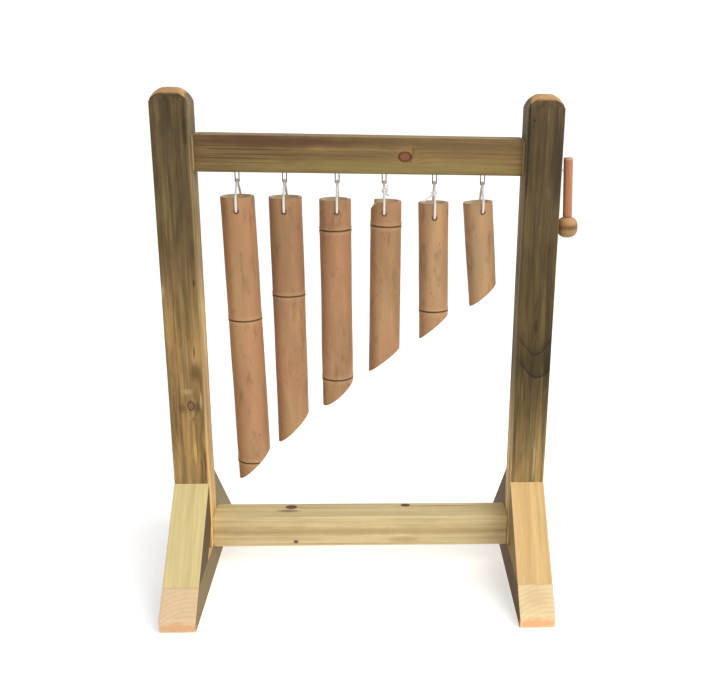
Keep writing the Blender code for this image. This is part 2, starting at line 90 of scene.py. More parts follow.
# ---------------------------------------------------------------- chimes
CORD_R = 0.00225
HOLE_R = 0.0045
WALL = 0.005
SEPTUM_HOLE_R = 0.009
SEPTUM_T = 0.004
WIRE_R = 0.0011                   # staples
STAPLE_IN = 0.018
WIRE_GAP = 0.0003                 # staple to its hole, and cord to its staple
CORD_GAP = 0.0008                 # cord to its tube
BRAID_PITCH = 0.0062
CHIP_TILT = math.radians(37)
CHIP_OUT = 0.002
CHIP_FRONT = 0.012
CHIP_DOWN = 0.0105

# ---------------------------------------------------------------- screws
SCREW_HEAD_R = 0.0055
SCREW_SHANK_R = 0.0028
SCREW_PITCH = 0.0030
COACH_BORE_R = 0.0125

# ---------------------------------------------------------------- beater
BEATER_LEAN = math.radians(2.6)
HEAD_BELOW_HANG = 0.108           # from the hanging screw to the head's centre
HEAD_R = 0.020
HEAD_H = 0.0405
PLUG_IN = 0.024                   # how far the handle goes into the head
HANDLE_R = 0.009
HANDLE_ABOVE_HANG = 0.0245
HANGER_R = 0.0016
HANGER_HEAD_R = 0.0034
SLOT_TRAVEL = 0.008

# ---------------------------------------------------------------- studio
FLOOR_SIDE = 30.0
FLOOR_FRONT = -40.0
FLOOR_BACK = 2.2
BACKDROP_BEND = 1.6
BACKDROP_TOP = 7.0


def srgb(red, green, blue):
    """A display colour, 0 to 255, as the linear colour that shaders use."""
    linear = []
    for value in (red, green, blue):
        value = value / 255
        linear.append(value / 12.92 if value <= 0.04045 else ((value + 0.055) / 1.055) ** 2.4)
    return (*linear, 1.0)


# ---------------------------------------------------------------- shader nodes
class Shader:
    """One Principled material and short calls that add nodes to it."""

    def __init__(self, name, roughness=0.7, metallic=0.0, specular=0.35):
        self.material = bpy.data.materials.new(name)
        self.material.use_nodes = True
        self.tree = self.material.node_tree
        self.out = self.tree.nodes["Principled BSDF"]
        self.out.inputs["Roughness"].default_value = roughness
        self.out.inputs["Metallic"].default_value = metallic
        self.out.inputs["Specular IOR Level"].default_value = specular
        self.coords = self.tree.nodes.new("ShaderNodeTexCoord")
        self.place = self.coords.outputs["Object"]

    def put(self, socket, value):
        if isinstance(value, bpy.types.NodeSocket):
            self.tree.links.new(value, socket)
        else:
            socket.default_value = value

    def give(self, name, value):
        self.put(self.out.inputs[name], value)

    def maths(self, operation, one, two=0.0, clamp=False):
        node = self.tree.nodes.new("ShaderNodeMath")
        node.operation = operation
        node.use_clamp = clamp
        self.put(node.inputs[0], one)
        self.put(node.inputs[1], two)
        return node.outputs[0]

    def times(self, one, two, clamp=False):
        return self.maths("MULTIPLY", one, two, clamp)

    def plus(self, one, two):
        return self.maths("ADD", one, two)

    def minus(self, one, two, clamp=False):
        return self.maths("SUBTRACT", one, two, clamp)

    def vector(self, operation, one, two=(0.0, 0.0, 0.0)):
        node = self.tree.nodes.new("ShaderNodeVectorMath")
        node.operation = operation
        self.put(node.inputs[0], one)
        if operation == "SCALE":
            self.put(node.inputs["Scale"], two)
        else:
            self.put(node.inputs[1], two)
        return node.outputs["Value" if operation == "LENGTH" else "Vector"]

    def split(self, vector):
        node = self.tree.nodes.new("ShaderNodeSeparateXYZ")
        self.put(node.inputs[0], vector)
        return node.outputs

    def noise(self, scale, detail=3.0, seed=0.0, colour=False, rough=0.55):
        """Noise over the object's own coordinates, stretched by a scale for each axis."""
        spot = self.vector("MULTIPLY", self.place, scale)
        spot = self.vector("ADD", spot, (seed, seed * 1.7, seed * 0.6))
        node = self.tree.nodes.new("ShaderNodeTexNoise")
        node.inputs["Scale"].default_value = 1.0
        node.inputs["Detail"].default_value = detail
        node.inputs["Roughness"].default_value = rough
        self.put(node.inputs["Vector"], spot)
        return node.outputs["Color" if colour else "Fac"]

    def ramp(self, value, stops, smooth=True):
        """A colour or a grey level from value, by (place, colour or level) stops."""
        node = self.tree.nodes.new("ShaderNodeValToRGB")
        node.color_ramp.interpolation = "EASE" if smooth else "LINEAR"
        points = node.color_ramp.elements
        for index, (place, colour) in enumerate(stops):
            point = points[index] if index < 2 else points.new(place)
            point.position = place
            point.color = colour if isinstance(colour, tuple) else (colour, colour, colour, 1.0)
        self.put(node.inputs[0], value)
        return node.outputs[0]

    def scaled(self, value, low, high):
        """value from low to high as 0 to 1."""
        node = self.tree.nodes.new("ShaderNodeMapRange")
        node.inputs["From Min"].default_value = low
        node.inputs["From Max"].default_value = high
        self.put(node.inputs["Value"], value)
        return node.outputs[0]

    def fading(self, value, low, high):
        """value from low to high as 1 to 0."""
        return self.minus(1.0, self.scaled(value, low, high), clamp=True)

    def drift(self, scale, detail, seed, size):
        """Noise about zero, from -size / 2 to size / 2."""
        return self.times(self.minus(self.noise(scale, detail, seed), 0.5), size)

    def mix(self, share, one, two, blend="MIX"):
        node = self.tree.nodes.new("ShaderNodeMix")
        node.data_type = "RGBA"
        node.blend_type = blend
        self.put(node.inputs["Factor"], share)
        for socket in node.inputs:
            if socket.type == "RGBA" and socket.name == "A":
                self.put(socket, one)
            if socket.type == "RGBA" and socket.name == "B":
                self.put(socket, two)
        return [s for s in node.outputs if s.type == "RGBA"][0]

    def tinted(self, share, colour, tint):
        """The colour multiplied by a tint, as far as the share says."""
        return self.mix(share, colour, self.mix(1.0, colour, tint, "MULTIPLY"))

    def bump(self, height, depth, strength=1.0):
        """Relief of this depth in metres, on top of any relief already there."""
        node = self.tree.nodes.new("ShaderNodeBump")
        node.inputs["Strength"].default_value = strength
        node.inputs["Distance"].default_value = depth
        self.put(node.inputs["Height"], height)
        before = self.out.inputs["Normal"].links
        if before:
            self.tree.links.new(before[0].from_socket, node.inputs["Normal"])
        self.tree.links.new(node.outputs[0], self.out.inputs["Normal"])

    def blotch(self, at, size, ragged=0.5, seed=0.0, edge=0.45):
        """1 inside an ellipsoid at this place in the object's coordinates, 0 outside."""
        away = self.vector("SUBTRACT", self.place, at)
        away = self.vector("DIVIDE", away, size)
        distance = self.vector("LENGTH", away)
        wander = self.drift((90, 90, 30), 2.0, seed + 3.3, ragged * 2)
        distance = self.plus(distance, wander)
        return self.fading(distance, 1 - edge, 1 + edge)


def wood(name, light, dark, seed, pith=(0.03, 0.05), spacing=0.006, wobble=0.010, contrast=0.55,
         heights=(), sides=(), marks=(), knots=(), end=None, roughness=0.78, streaks=0.5, line=0.25,
         stains=0.0, figures=()):
    """Softwood with its grain along the object's own Z.

    Growth rings lie round a pith beside the timber, so faces show long lines and ends show
    arcs.  Knots are (place, radius, (axis, two core colours, rim colour)).
    Marks are (place, size, colour, strength).  Sides are (axis, sign, colour, strength): painted light and
    shade that tints the faces turned that way.
    Heights colour the timber along its length; on the posts this is painted shade, darker up the post.
    Figures are dark V-shaped rings: (x, z, rise, half width, line width, colour, strength).
    """
    shader = Shader(name, roughness)
    wander = shader.noise((9, 9, 2.2), 2.0, seed, colour=True)
    wander = shader.vector("SCALE", shader.vector("SUBTRACT", wander, (0.5, 0.5, 0.5)), wobble * 2)
    fine = shader.noise((60, 60, 14), 2.0, seed + 5, colour=True)
    fine = shader.vector("SCALE", shader.vector("SUBTRACT", fine, (0.5, 0.5, 0.5)), wobble * 0.18)
    spot = shader.vector("ADD", shader.vector("ADD", shader.place, wander), fine)
    x, y, _ = shader.split(shader.vector("SUBTRACT", spot, (*pith, 0.0)))
    distance = shader.maths("SQRT", shader.plus(shader.times(x, x), shader.times(y, y)))
    knot_masks = []
    for at, radius, core in knots:
        size = (radius, radius, radius * 1.35)
        through = [1.0, 1.0, 1.0]
        through["xy".index(core[0])] = 0.25
        away = shader.vector("MULTIPLY", shader.vector("SUBTRACT", shader.place, at), tuple(through))
        away = shader.vector("DIVIDE", away, size)
        rho = shader.vector("LENGTH", away)
        swell = shader.maths("EXPONENT", shader.times(shader.times(rho, rho), -0.16))
        distance = shader.plus(distance, shader.times(swell, radius * 1.6))
        knot_masks.append((rho, core))
    phase = shader.maths("FRACT", shader.maths("DIVIDE", distance, spacing))
    rings = shader.ramp(phase, ((0.0, 0.0), (0.45, 0.12), (0.80, 0.85), (0.88, 1.0), (1.0, 0.0)),
                        smooth=False)
    patch = shader.noise((14, 14, 3), 3.0, seed + 11)
    shown = shader.times(rings, shader.times(shader.scaled(patch, 0.25, 0.75), contrast), clamp=True)
    fibre = shader.noise((420, 420, 9), 4.0, seed + 21, rough=0.65)
    streak = shader.noise((85, 85, 2.0), 3.0, seed + 31)
    colour = shader.mix(shown, light, dark)
    tone = shader.times(shader.minus(streak, 0.5), streaks)
    colour = shader.mix(shader.maths("ABSOLUTE", tone), colour,
                        shader.mix(shader.maths("GREATER_THAN", tone, 0.0), dark,
                                   tuple(min(1.0, c * 1.25) for c in light)))
    grey = shader.plus(1 - line / 2, shader.times(fibre, line))
    colour = shader.mix(1.0, colour, shader.vector("SCALE", (1.0, 1.0, 1.0), grey), "MULTIPLY")
    # Height ramp; on the posts it is painted shade, darker up the post.
    if heights:
        _, _, z = shader.split(shader.place)
        low, high = heights[0][0], heights[-1][0]
        stops = [((h - low) / (high - low), tint) for h, tint in heights]
        drift = shader.drift((18, 18, 5), 2.0, seed + 41, 0.06)
        along = shader.plus(shader.scaled(z, low, high), drift)
        colour = shader.mix(1.0, colour, shader.ramp(along, stops, smooth=False), "MULTIPLY")
    if stains:
        band = shader.scaled(shader.noise((80, 80, 3.5), 3.0, seed + 45, rough=0.55), 0.42, 0.62)
        colour = shader.tinted(stains, colour, (0.78, 0.78, 0.78, 1.0))
        colour = shader.tinted(shader.times(band, stains), colour, (1.66, 1.62, 1.55, 1.0))
        broad = shader.scaled(shader.noise((34, 34, 7), 5.0, seed + 51, rough=0.62), 0.46, 0.72)
        colour = shader.tinted(shader.times(broad, stains * 0.80), colour, (0.50, 0.44, 0.36, 1.0))
        thin = shader.scaled(shader.noise((330, 330, 7), 4.0, seed + 61, rough=0.7), 0.50, 0.72)
        colour = shader.tinted(shader.times(thin, stains * 0.80), colour, (0.50, 0.44, 0.38, 1.0))
        scuff = shader.scaled(shader.noise((70, 70, 12), 5.0, seed + 71, rough=0.7), 0.54, 0.74)
        colour = shader.tinted(shader.times(scuff, stains * 0.80), colour, (1.7, 1.65, 1.5, 1.0))
    here_x, here_y, here_z = shader.split(shader.place)
    for across, along, rise, half, width, tint, strength in figures:
        off = shader.maths("ABSOLUTE", shader.minus(here_x, across))
        bend = shader.times(shader.maths("POWER", shader.maths("DIVIDE", off, half), 1.5), rise)
        sway = shader.drift((70, 70, 30), 3.0, seed + 81, 0.012)
        over = shader.minus(shader.plus(here_z, sway), shader.plus(bend, along))
        near = shader.fading(off, half * 0.9, half * 1.15)
        front = shader.times(near, shader.maths("LESS_THAN", here_y, FIGURE_FRONT))
        line_share = shader.fading(shader.maths("ABSOLUTE", over), width * 0.4, width * 1.4)
        fade = shader.times(shader.fading(over, 0.0, width * 12),
                            shader.maths("GREATER_THAN", over, 0.0))
        both = shader.maths("MAXIMUM", line_share, shader.times(fade, 0.42))
        colour = shader.mix(shader.times(shader.times(both, front), strength), colour, tint)
    facing = shader.split(shader.coords.outputs["Normal"])
    # Painted light and shade: faces turned along an axis are tinted lighter or darker.
    for axis, sign, tint, strength in sides:
        toward = shader.times(facing["xyz".index(axis)], sign)
        share = shader.times(shader.scaled(toward, 0.45, 0.95), strength)
        colour = shader.tinted(share, colour, tint)
    if end:
        toward = shader.maths("ABSOLUTE", facing[2])
        colour = shader.mix(shader.scaled(toward, 0.58, 0.70), colour,
                            shader.mix(shader.times(rings, 0.10), end,
                                       shader.mix(1.0, end, dark, "MULTIPLY")))
        speck = shader.scaled(shader.noise((650, 650, 650), 3.0, seed + 91), 0.50, 0.80)
        colour = shader.tinted(shader.times(speck, shader.scaled(toward, 0.58, 0.70)), colour,
                               (0.78, 0.68, 0.58, 1.0))
    for index, (at, size, tint, strength) in enumerate(marks):
        share = shader.blotch(at, size, 0.45, seed + index)
        colour = shader.mix(shader.times(share, strength), colour, tint)
    for rho, core in knot_masks:
        inner = shader.times(shader.maths("FRACT", shader.plus(shader.times(rho, 2.6), fibre)), 0.6)
        body = shader.mix(inner, core[1], core[2])
        rim = shader.ramp(shader.scaled(rho, 0.0, 2.0),
                          ((0.0, 0.0), (0.40, 0.0), (0.50, 1.0), (0.58, 0.8), (0.72, 0.0)), smooth=False)
        inside = shader.fading(rho, 0.95, 1.10)
        colour = shader.mix(inside, colour, body)
        colour = shader.mix(shader.times(rim, 0.85), colour, core[3])
    shader.give("Base Color", colour)
    shader.bump(rings, 0.00022)
    shader.bump(fibre, 0.00018)
    return shader.material


# ---------------------------------------------------------------- mesh helpers
def finished(name, bm, materials, place=(0, 0, 0), turn=None, smooth=40):
    """Link a bmesh as a named, smooth-shaded object."""
    bmesh.ops.recalc_face_normals(bm, faces=bm.faces)
    mesh = bpy.data.meshes.new(name)
    bm.to_mesh(mesh)
    bm.free()
    for material in materials:
        mesh.materials.append(material)
    mesh.shade_smooth()
    mesh.set_sharp_from_angle(angle=math.radians(smooth))
    obj = bpy.data.objects.new(name, mesh)
    obj.matrix_world = Matrix.Translation(place) @ (turn or Matrix.Identity(4))
    bpy.context.collection.objects.link(obj)
    return obj


def stands_for(obj, node):
    """obj rides on the body of a CAD node and replaces it."""
    body = frame["nodes"][node]["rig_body"]
    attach(obj, body)
    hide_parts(node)
    return obj


def section(low, high, corner, steps=(12, 12), corner_steps=4):
    """Points round a rectangle with round corners."""
    points = []
    corners = ((high[0] - corner, low[1] + corner, -90), (high[0] - corner, high[1] - corner, 0),
               (low[0] + corner, high[1] - corner, 90), (low[0] + corner, low[1] + corner, 180))
    for index, (x, y, start) in enumerate(corners):
        for step in range(corner_steps + 1):
            angle = math.radians(start + 90 * step / corner_steps)
            points.append(Vector((x + corner * math.cos(angle), y + corner * math.sin(angle), 0)))
        after = corners[(index + 1) % 4]
        angle = math.radians(start + 90)
        begin = points[-1]
        finish = Vector((after[0] + corner * math.cos(angle), after[1] + corner * math.sin(angle), 0))
        count = steps[1] if index % 2 == 0 else steps[0]
        points += [begin.lerp(finish, step / count) for step in range(1, count)]
    return points


def raised(ring, z):
    return [point + Vector((0, 0, z)) for point in ring]


def loft(rings):
    """A closed skin over rings of points, with a flat cap at each end."""
    bm = bmesh.new()
    rows = [[bm.verts.new(point) for point in ring] for ring in rings]
    for one, two in zip(rows, rows[1:]):
        for k in range(len(one)):
            after = (k + 1) % len(one)
            bm.faces.new((one[k], one[after], two[after], two[k]))
    bm.faces.new(rows[0][::-1])
    bm.faces.new(rows[-1])
    bmesh.ops.recalc_face_normals(bm, faces=bm.faces)
    return bm


def weathered(bm, depth, seed, dents=()):
    """Sink a timber's surface in long shallow hollows that follow the grain, Z."""
    bm.normal_update()
    moves = []
    for vert in bm.verts:
        x, y, z = vert.co
        long_wave = noise.noise(Vector((x * 45 + seed, y * 45, z * 5)))
        ridge = noise.noise(Vector((x * 260 + seed, y * 260, z * 11)))
        sink = depth * (0.5 + 0.35 * long_wave + 0.25 * ridge)
        for at, radius, deep in dents:
            away = (vert.co - Vector(at)).length / radius
            sink += deep * math.exp(-away * away * 2)
        moves.append(vert.normal * -max(sink, 0.0))
    for vert, move in zip(bm.verts, moves):
        vert.co += move
    return bm


def spaced(low, high, gap):
    count = max(1, round((high - low) / gap))
    return [low + (high - low) * k / count for k in range(count + 1)]


def lathe(profile, sides, closed=False):
    """Turn (radius, z) points about Z.  A radius of zero closes the shape on the axis."""
    bm = bmesh.new()
    rings = []
    for radius, z in profile:
        if radius == 0.0:
            rings.append([bm.verts.new((0, 0, z))])
            continue
        turns = [2 * math.pi * k / sides for k in range(sides)]
        rings.append([bm.verts.new((radius * math.cos(a), radius * math.sin(a), z)) for a in turns])
    pairs = list(zip(rings, rings[1:]))
    if closed:
        pairs.append((rings[-1], rings[0]))
    for one, two in pairs:
        for k in range(sides):
            after = (k + 1) % sides
            corners = [one[k % len(one)], one[after % len(one)], two[after % len(two)], two[k % len(two)]]
            bm.faces.new(list(dict.fromkeys(corners)))
    return bm


def pointed(bm, direction, place):
    """Turn a shape modelled up Z so that it points along direction, at place."""
    turn = Vector((0, 0, 1)).rotation_difference(Vector(direction)).to_matrix().to_4x4()
    bmesh.ops.transform(bm, matrix=Matrix.Translation(place) @ turn, verts=bm.verts)
    return bm


def cut_away(obj, cutters, material=None):
    """Take closed shapes, given in obj's own coordinates, out of obj for good."""
    for cutter_bm in cutters:
        cutter = finished("cutter", cutter_bm, [material] if material else [])
        cutter.matrix_world = obj.matrix_world.copy()
        boolean = obj.modifiers.new("cut", "BOOLEAN")
        boolean.operation = "DIFFERENCE"
        boolean.solver = "EXACT"
        boolean.object = cutter
        boolean.material_mode = "TRANSFER" if material else "INDEX"
        bpy.context.view_layer.update()
        evaluated = obj.evaluated_get(bpy.context.evaluated_depsgraph_get())
        mesh = bpy.data.meshes.new_from_object(evaluated)
        obj.modifiers.clear()
        old = obj.data
        obj.data = mesh
        bpy.data.meshes.remove(old)
        mesh.name = obj.name
        bpy.data.objects.remove(cutter, do_unlink=True)
    obj.data.shade_smooth()
    obj.data.set_sharp_from_angle(angle=math.radians(40))
    return obj


def sweep(path, radius, sides, cyclic, shape=None):
    """A tube along path.  shape(turn, distance) gives the radius's factor, if it varies."""
    bm = bmesh.new()
    count = len(path)
    rows = []
    travelled = 0.0
    normal = None
    for k, point in enumerate(path):
        if cyclic:
            before, after = path[k - 1], path[(k + 1) % count]
        else:
            before, after = path[max(k - 1, 0)], path[min(k + 1, count - 1)]
        tangent = (after - before).normalized()
        if normal is None:
            normal = Vector((1, 0, 0)) if abs(tangent.x) < 0.9 else Vector((0, 1, 0))
        normal = (normal - tangent * normal.dot(tangent)).normalized()
        side = tangent.cross(normal)
        if k:
            travelled += (point - path[k - 1]).length
        ring = []
        for j in range(sides):
            angle = 2 * math.pi * j / sides
            size = radius * (shape(angle, travelled) if shape else 1.0)
            ring.append(bm.verts.new(point + (normal * math.cos(angle) + side * math.sin(angle)) * size))
        rows.append(ring)
    pairs = list(zip(rows, rows[1:]))
    if cyclic:
        pairs.append((rows[-1], rows[0]))
    for one, two in pairs:
        for j in range(sides):
            after = (j + 1) % sides
            bm.faces.new((one[j], one[after], two[after], two[j]))
    if not cyclic:
        bm.faces.new(rows[0][::-1])
        bm.faces.new(rows[-1])
    return bm


def rounded_path(corners, radius, gap, cyclic=True):
    """Points every gap along straight runs joined by arcs of this radius."""
    count = len(corners)
    points = []
    for k, corner in enumerate(corners):
        if not cyclic and k in (0, count - 1):
            points.append(Vector(corner))
            continue
        corner = Vector(corner)
        back = (Vector(corners[k - 1]) - corner).normalized()
        ahead = (Vector(corners[(k + 1) % count]) - corner).normalized()
        half = back.angle(ahead) / 2
        centre = corner + (back + ahead).normalized() * (radius / math.sin(half))
        start = corner + back * (radius / math.tan(half)) - centre
        end = corner + ahead * (radius / math.tan(half)) - centre
        for step in range(7):
            points.append(centre + start.slerp(end, step / 6) * radius)
    ends = list(zip(points, points[1:] + (points[:1] if cyclic else [])))
    even = []
    for one, two in ends:
        steps = max(1, round((two - one).length / gap))
        even += [one.lerp(two, step / steps) for step in range(steps)]
    if not cyclic:
        even.append(points[-1])
    return even


# ---------------------------------------------------------------- materials
def post_wood(name, seed, heights, marks, knots, pith, figures):
    # Both side faces are painted about twice as light as the front: partly painted light, partly the timber's
    # own tone.
    return wood(name, srgb(186, 156, 104), srgb(96, 78, 46), seed, pith, 0.0075, 0.016, 0.60, heights,
                (("x", 1, (1.95, 2.10, 2.30, 1.0), 0.9), ("x", -1, (1.80, 1.90, 2.20, 1.0), 0.9)),
                marks, knots, srgb(205, 160, 110), 0.82, 0.9, 0.35, 1.0, figures)


def foot_wood(name, seed, light, dark, end, marks=(), knots=(), pith=(0.02, 0.07), heights=()):
    # The side faces of bearers and braces are painted far darker than their fronts and tops: painted shade.
    return wood(name, light, dark, seed, pith, 0.0062, 0.007, 0.58, heights,
                (("x", 1, (0.24, 0.23, 0.20, 1.0), 0.95), ("x", -1, (0.11, 0.07, 0.035, 1.0), 0.98)),
                marks, knots, end, 0.74, 0.45, 0.26, 0.20)


# ---------------------------------------------------------------- frame timbers
def build_post(word):
    node = f"{word}_post"
    low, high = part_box(node)
    half = (high.x - low.x) / 2
    shoulder = high.z - POST_TOP_RISE
    rings = []
    for z in spaced(low.z, shoulder, 0.0055):
        rings.append(raised(section((-half, -half), (half, half), POST_ARRIS, (16, 16), 5), z))
    for inset, rise in POST_TOP[1:]:
        side = half - inset
        corner = min(POST_ARRIS + inset * 0.45, side * 0.8)
        ring = section((-side, -side), (side, side), corner, (16, 16), 5)
        rings.append(raised(ring, shoulder + rise))
    bm = weathered(loft(rings), 0.00035, 7 if word == "left" else 31)
    # The height ramps below are painted shade: the fronts grow darker up the post.
    if word == "left":
        heights = ((0.07, (0.90, 0.84, 0.76, 1)), (0.26, (0.84, 0.78, 0.68, 1)),
                   (0.40, (0.68, 0.62, 0.58, 1)),
                   (0.49, (0.78, 0.72, 0.64, 1)), (0.58, (0.66, 0.63, 0.56, 1)),
                   (0.67, (0.42, 0.40, 0.38, 1)),
                   (0.77, (0.37, 0.37, 0.34, 1)), (0.86, (0.30, 0.30, 0.29, 1)),
                   (0.93, (0.21, 0.21, 0.22, 1)), (0.99, (0.26, 0.26, 0.27, 1)))
        marks = (((0.027, -0.035, 0.925), (0.003, 0.01, 0.035), srgb(48, 42, 22), 0.75),
                 ((-0.033, -0.035, 0.612), (0.003, 0.01, 0.012), srgb(205, 190, 165), 0.6),
                 ((0.020, -0.035, 0.452), (0.009, 0.01, 0.018), srgb(92, 68, 40), 0.70),
                 ((0.0205, -0.035, 0.492), (0.0016, 0.01, 0.012), srgb(70, 48, 28), 0.80),
                 ((0.0035, -0.035, 0.411), (0.010, 0.01, 0.006), srgb(196, 168, 118), 0.50),
                 ((-0.010, -0.035, 0.376), (0.007, 0.01, 0.009), srgb(104, 78, 44), 0.65),
                 ((0.021, -0.035, 0.377), (0.006, 0.01, 0.010), srgb(88, 62, 36), 0.70),
                 ((0.029, -0.035, 0.392), (0.0022, 0.01, 0.016), srgb(206, 186, 142), 0.60),
                 ((0.028, -0.035, 0.630), (0.0018, 0.01, 0.006), srgb(52, 36, 22), 0.85),
                 ((0.030, -0.035, 0.250), (0.0016, 0.01, 0.035), srgb(78, 52, 30), 0.80),
                 ((0.016, -0.035, 0.300), (0.0020, 0.01, 0.045), srgb(110, 80, 44), 0.60))
        knots = (((0.0082, -0.035, 0.381), 0.0060,
                  ("y", srgb(150, 112, 76), srgb(86, 56, 36), srgb(52, 32, 20))),)
        figures = ((0.012, 0.352, 0.055, 0.016, 0.0012, srgb(104, 76, 42), 0.6),
                   (0.014, 0.560, 0.150, 0.013, 0.0010, srgb(90, 72, 42), 0.5),
                   (-0.008, 0.700, 0.120, 0.012, 0.0010, srgb(70, 58, 34), 0.5))
        pith = (0.045, 0.060)
    else:
        heights = ((0.07, (0.82, 0.79, 0.68, 1)), (0.26, (0.70, 0.69, 0.62, 1)),
                   (0.31, (0.58, 0.57, 0.52, 1)),
                   (0.375, (0.38, 0.37, 0.30, 1)), (0.465, (0.145, 0.145, 0.11, 1)),
                   (0.555, (0.205, 0.20, 0.15, 1)),
                   (0.645, (0.205, 0.205, 0.165, 1)), (0.74, (0.265, 0.265, 0.235, 1)),
                   (0.83, (0.265, 0.265, 0.235, 1)),
                   (0.92, (0.19, 0.19, 0.19, 1)), (0.99, (0.25, 0.25, 0.25, 1)))
        marks = (((-0.031, -0.035, 0.90), (0.0016, 0.01, 0.10), srgb(25, 20, 14), 0.8),
                 ((-0.022, -0.035, 0.942), (0.0022, 0.01, 0.0022), srgb(34, 24, 14), 0.8),
                 ((0.024, -0.035, 0.860), (0.012, 0.01, 0.060), srgb(56, 44, 30), 0.60),
                 ((0.0015, -0.035, 0.548), (0.0030, 0.01, 0.014), srgb(52, 38, 22), 0.80),
                 ((-0.0155, -0.035, 0.410), (0.0016, 0.01, 0.030), srgb(50, 36, 20), 0.65),
                 ((-0.030, -0.035, 0.300), (0.0025, 0.01, 0.060), srgb(70, 62, 30), 0.65),
                 ((0.012, -0.035, 0.255), (0.0022, 0.01, 0.040), srgb(206, 184, 136), 0.45))
        knots = ()
        figures = ((0.0022, 0.4880, 0.036, 0.034, 0.0014, srgb(22, 14, 8), 0.90),
                   (0.0087, 0.4400, 0.034, 0.036, 0.0015, srgb(20, 12, 7), 0.95),
                   (0.0010, 0.5360, 0.170, 0.011, 0.0015, srgb(28, 20, 10), 0.85),
                   (-0.0020, 0.5750, 0.260, 0.022, 0.0013, srgb(38, 28, 14), 0.75),
                   (-0.0060, 0.7000, 0.200, 0.018, 0.0012, srgb(42, 32, 18), 0.60))
        pith = (-0.030, 0.055)
    material = post_wood(f"{word}_post_wood", 3.0 if word == "left" else 8.0, heights, marks, knots, pith,
                         figures)
    middle = ((low.x + high.x) / 2, (low.y + high.y) / 2, 0)
    post = finished(f"{word}_post_timber", bm, [material], middle)
    side = -1 if word == "left" else 1
    cutters = [screw_recess(Vector(place) - Vector(middle), (-side, 0, 0)) for _, place in rail_screws(word)]
    cut_away(post, cutters)
    return stands_for(post, node)


def rail_screws(word):
    """Node and head place of each rail screw that goes in through one post."""
    for rail in ("top", "bottom"):
        for level in ("lower", "upper"):
            node = f"{rail}_rail_screw_{word}_{level}"
            low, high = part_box(node)
            x = low.x if word == "left" else high.x
            yield node, (x, (low.y + high.y) / 2, (low.z + high.z) / 2)


def screw_recess(place, direction, radius=0.0061, depth=0.0034):
    cone = lathe([(0.0, -0.002), (radius + 0.001, -0.002), (radius, 0.0004), (radius - depth, depth),
                  (0.0, depth)], 32)
    return pointed(cone, direction, place)


def build_rail(which, seed):
    node = f"{which}_rail"
    low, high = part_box(node)
    middle = (low + high) / 2
    half = (high - low) / 2
    along = Matrix.Rotation(math.radians(90), 4, "Y")       # local Z along the rail, local X down
    rings = []
    for z in spaced(-half.x, half.x, 0.0055):
        inset = 0.0006 if abs(z) > half.x - 0.0001 else 0.0
        ring = section((-half.z + inset, -half.y + inset), (half.z - inset, half.y - inset), RAIL_ARRIS,
                       (14, 12), 4)
        rings.append(raised(ring, z))
    bm = weathered(loft(rings), 0.00025, seed)
    rail = finished(f"{which}_rail_timber", bm, [rail_wood(which, seed)], middle, along)
    if which == "top":
        holes = []
        for number in range(1, 7):
            staple_low, staple_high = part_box(f"wire_staple_{number}")
            for x in (staple_low.x + WIRE_R, staple_high.x - WIRE_R):
                hole = lathe([(0.0, -0.002), (WIRE_R + WIRE_GAP, -0.002), (WIRE_R + WIRE_GAP, STAPLE_IN),
                              (0.0, STAPLE_IN)], 16)
                holes.append(pointed(hole, (-1, 0, 0),
                                     (half.z, JOINTS["swing_1"]["pos_m"][1] - middle.y, x - middle.x)))
        cut_away(rail, holes)
    return stands_for(rail, node)


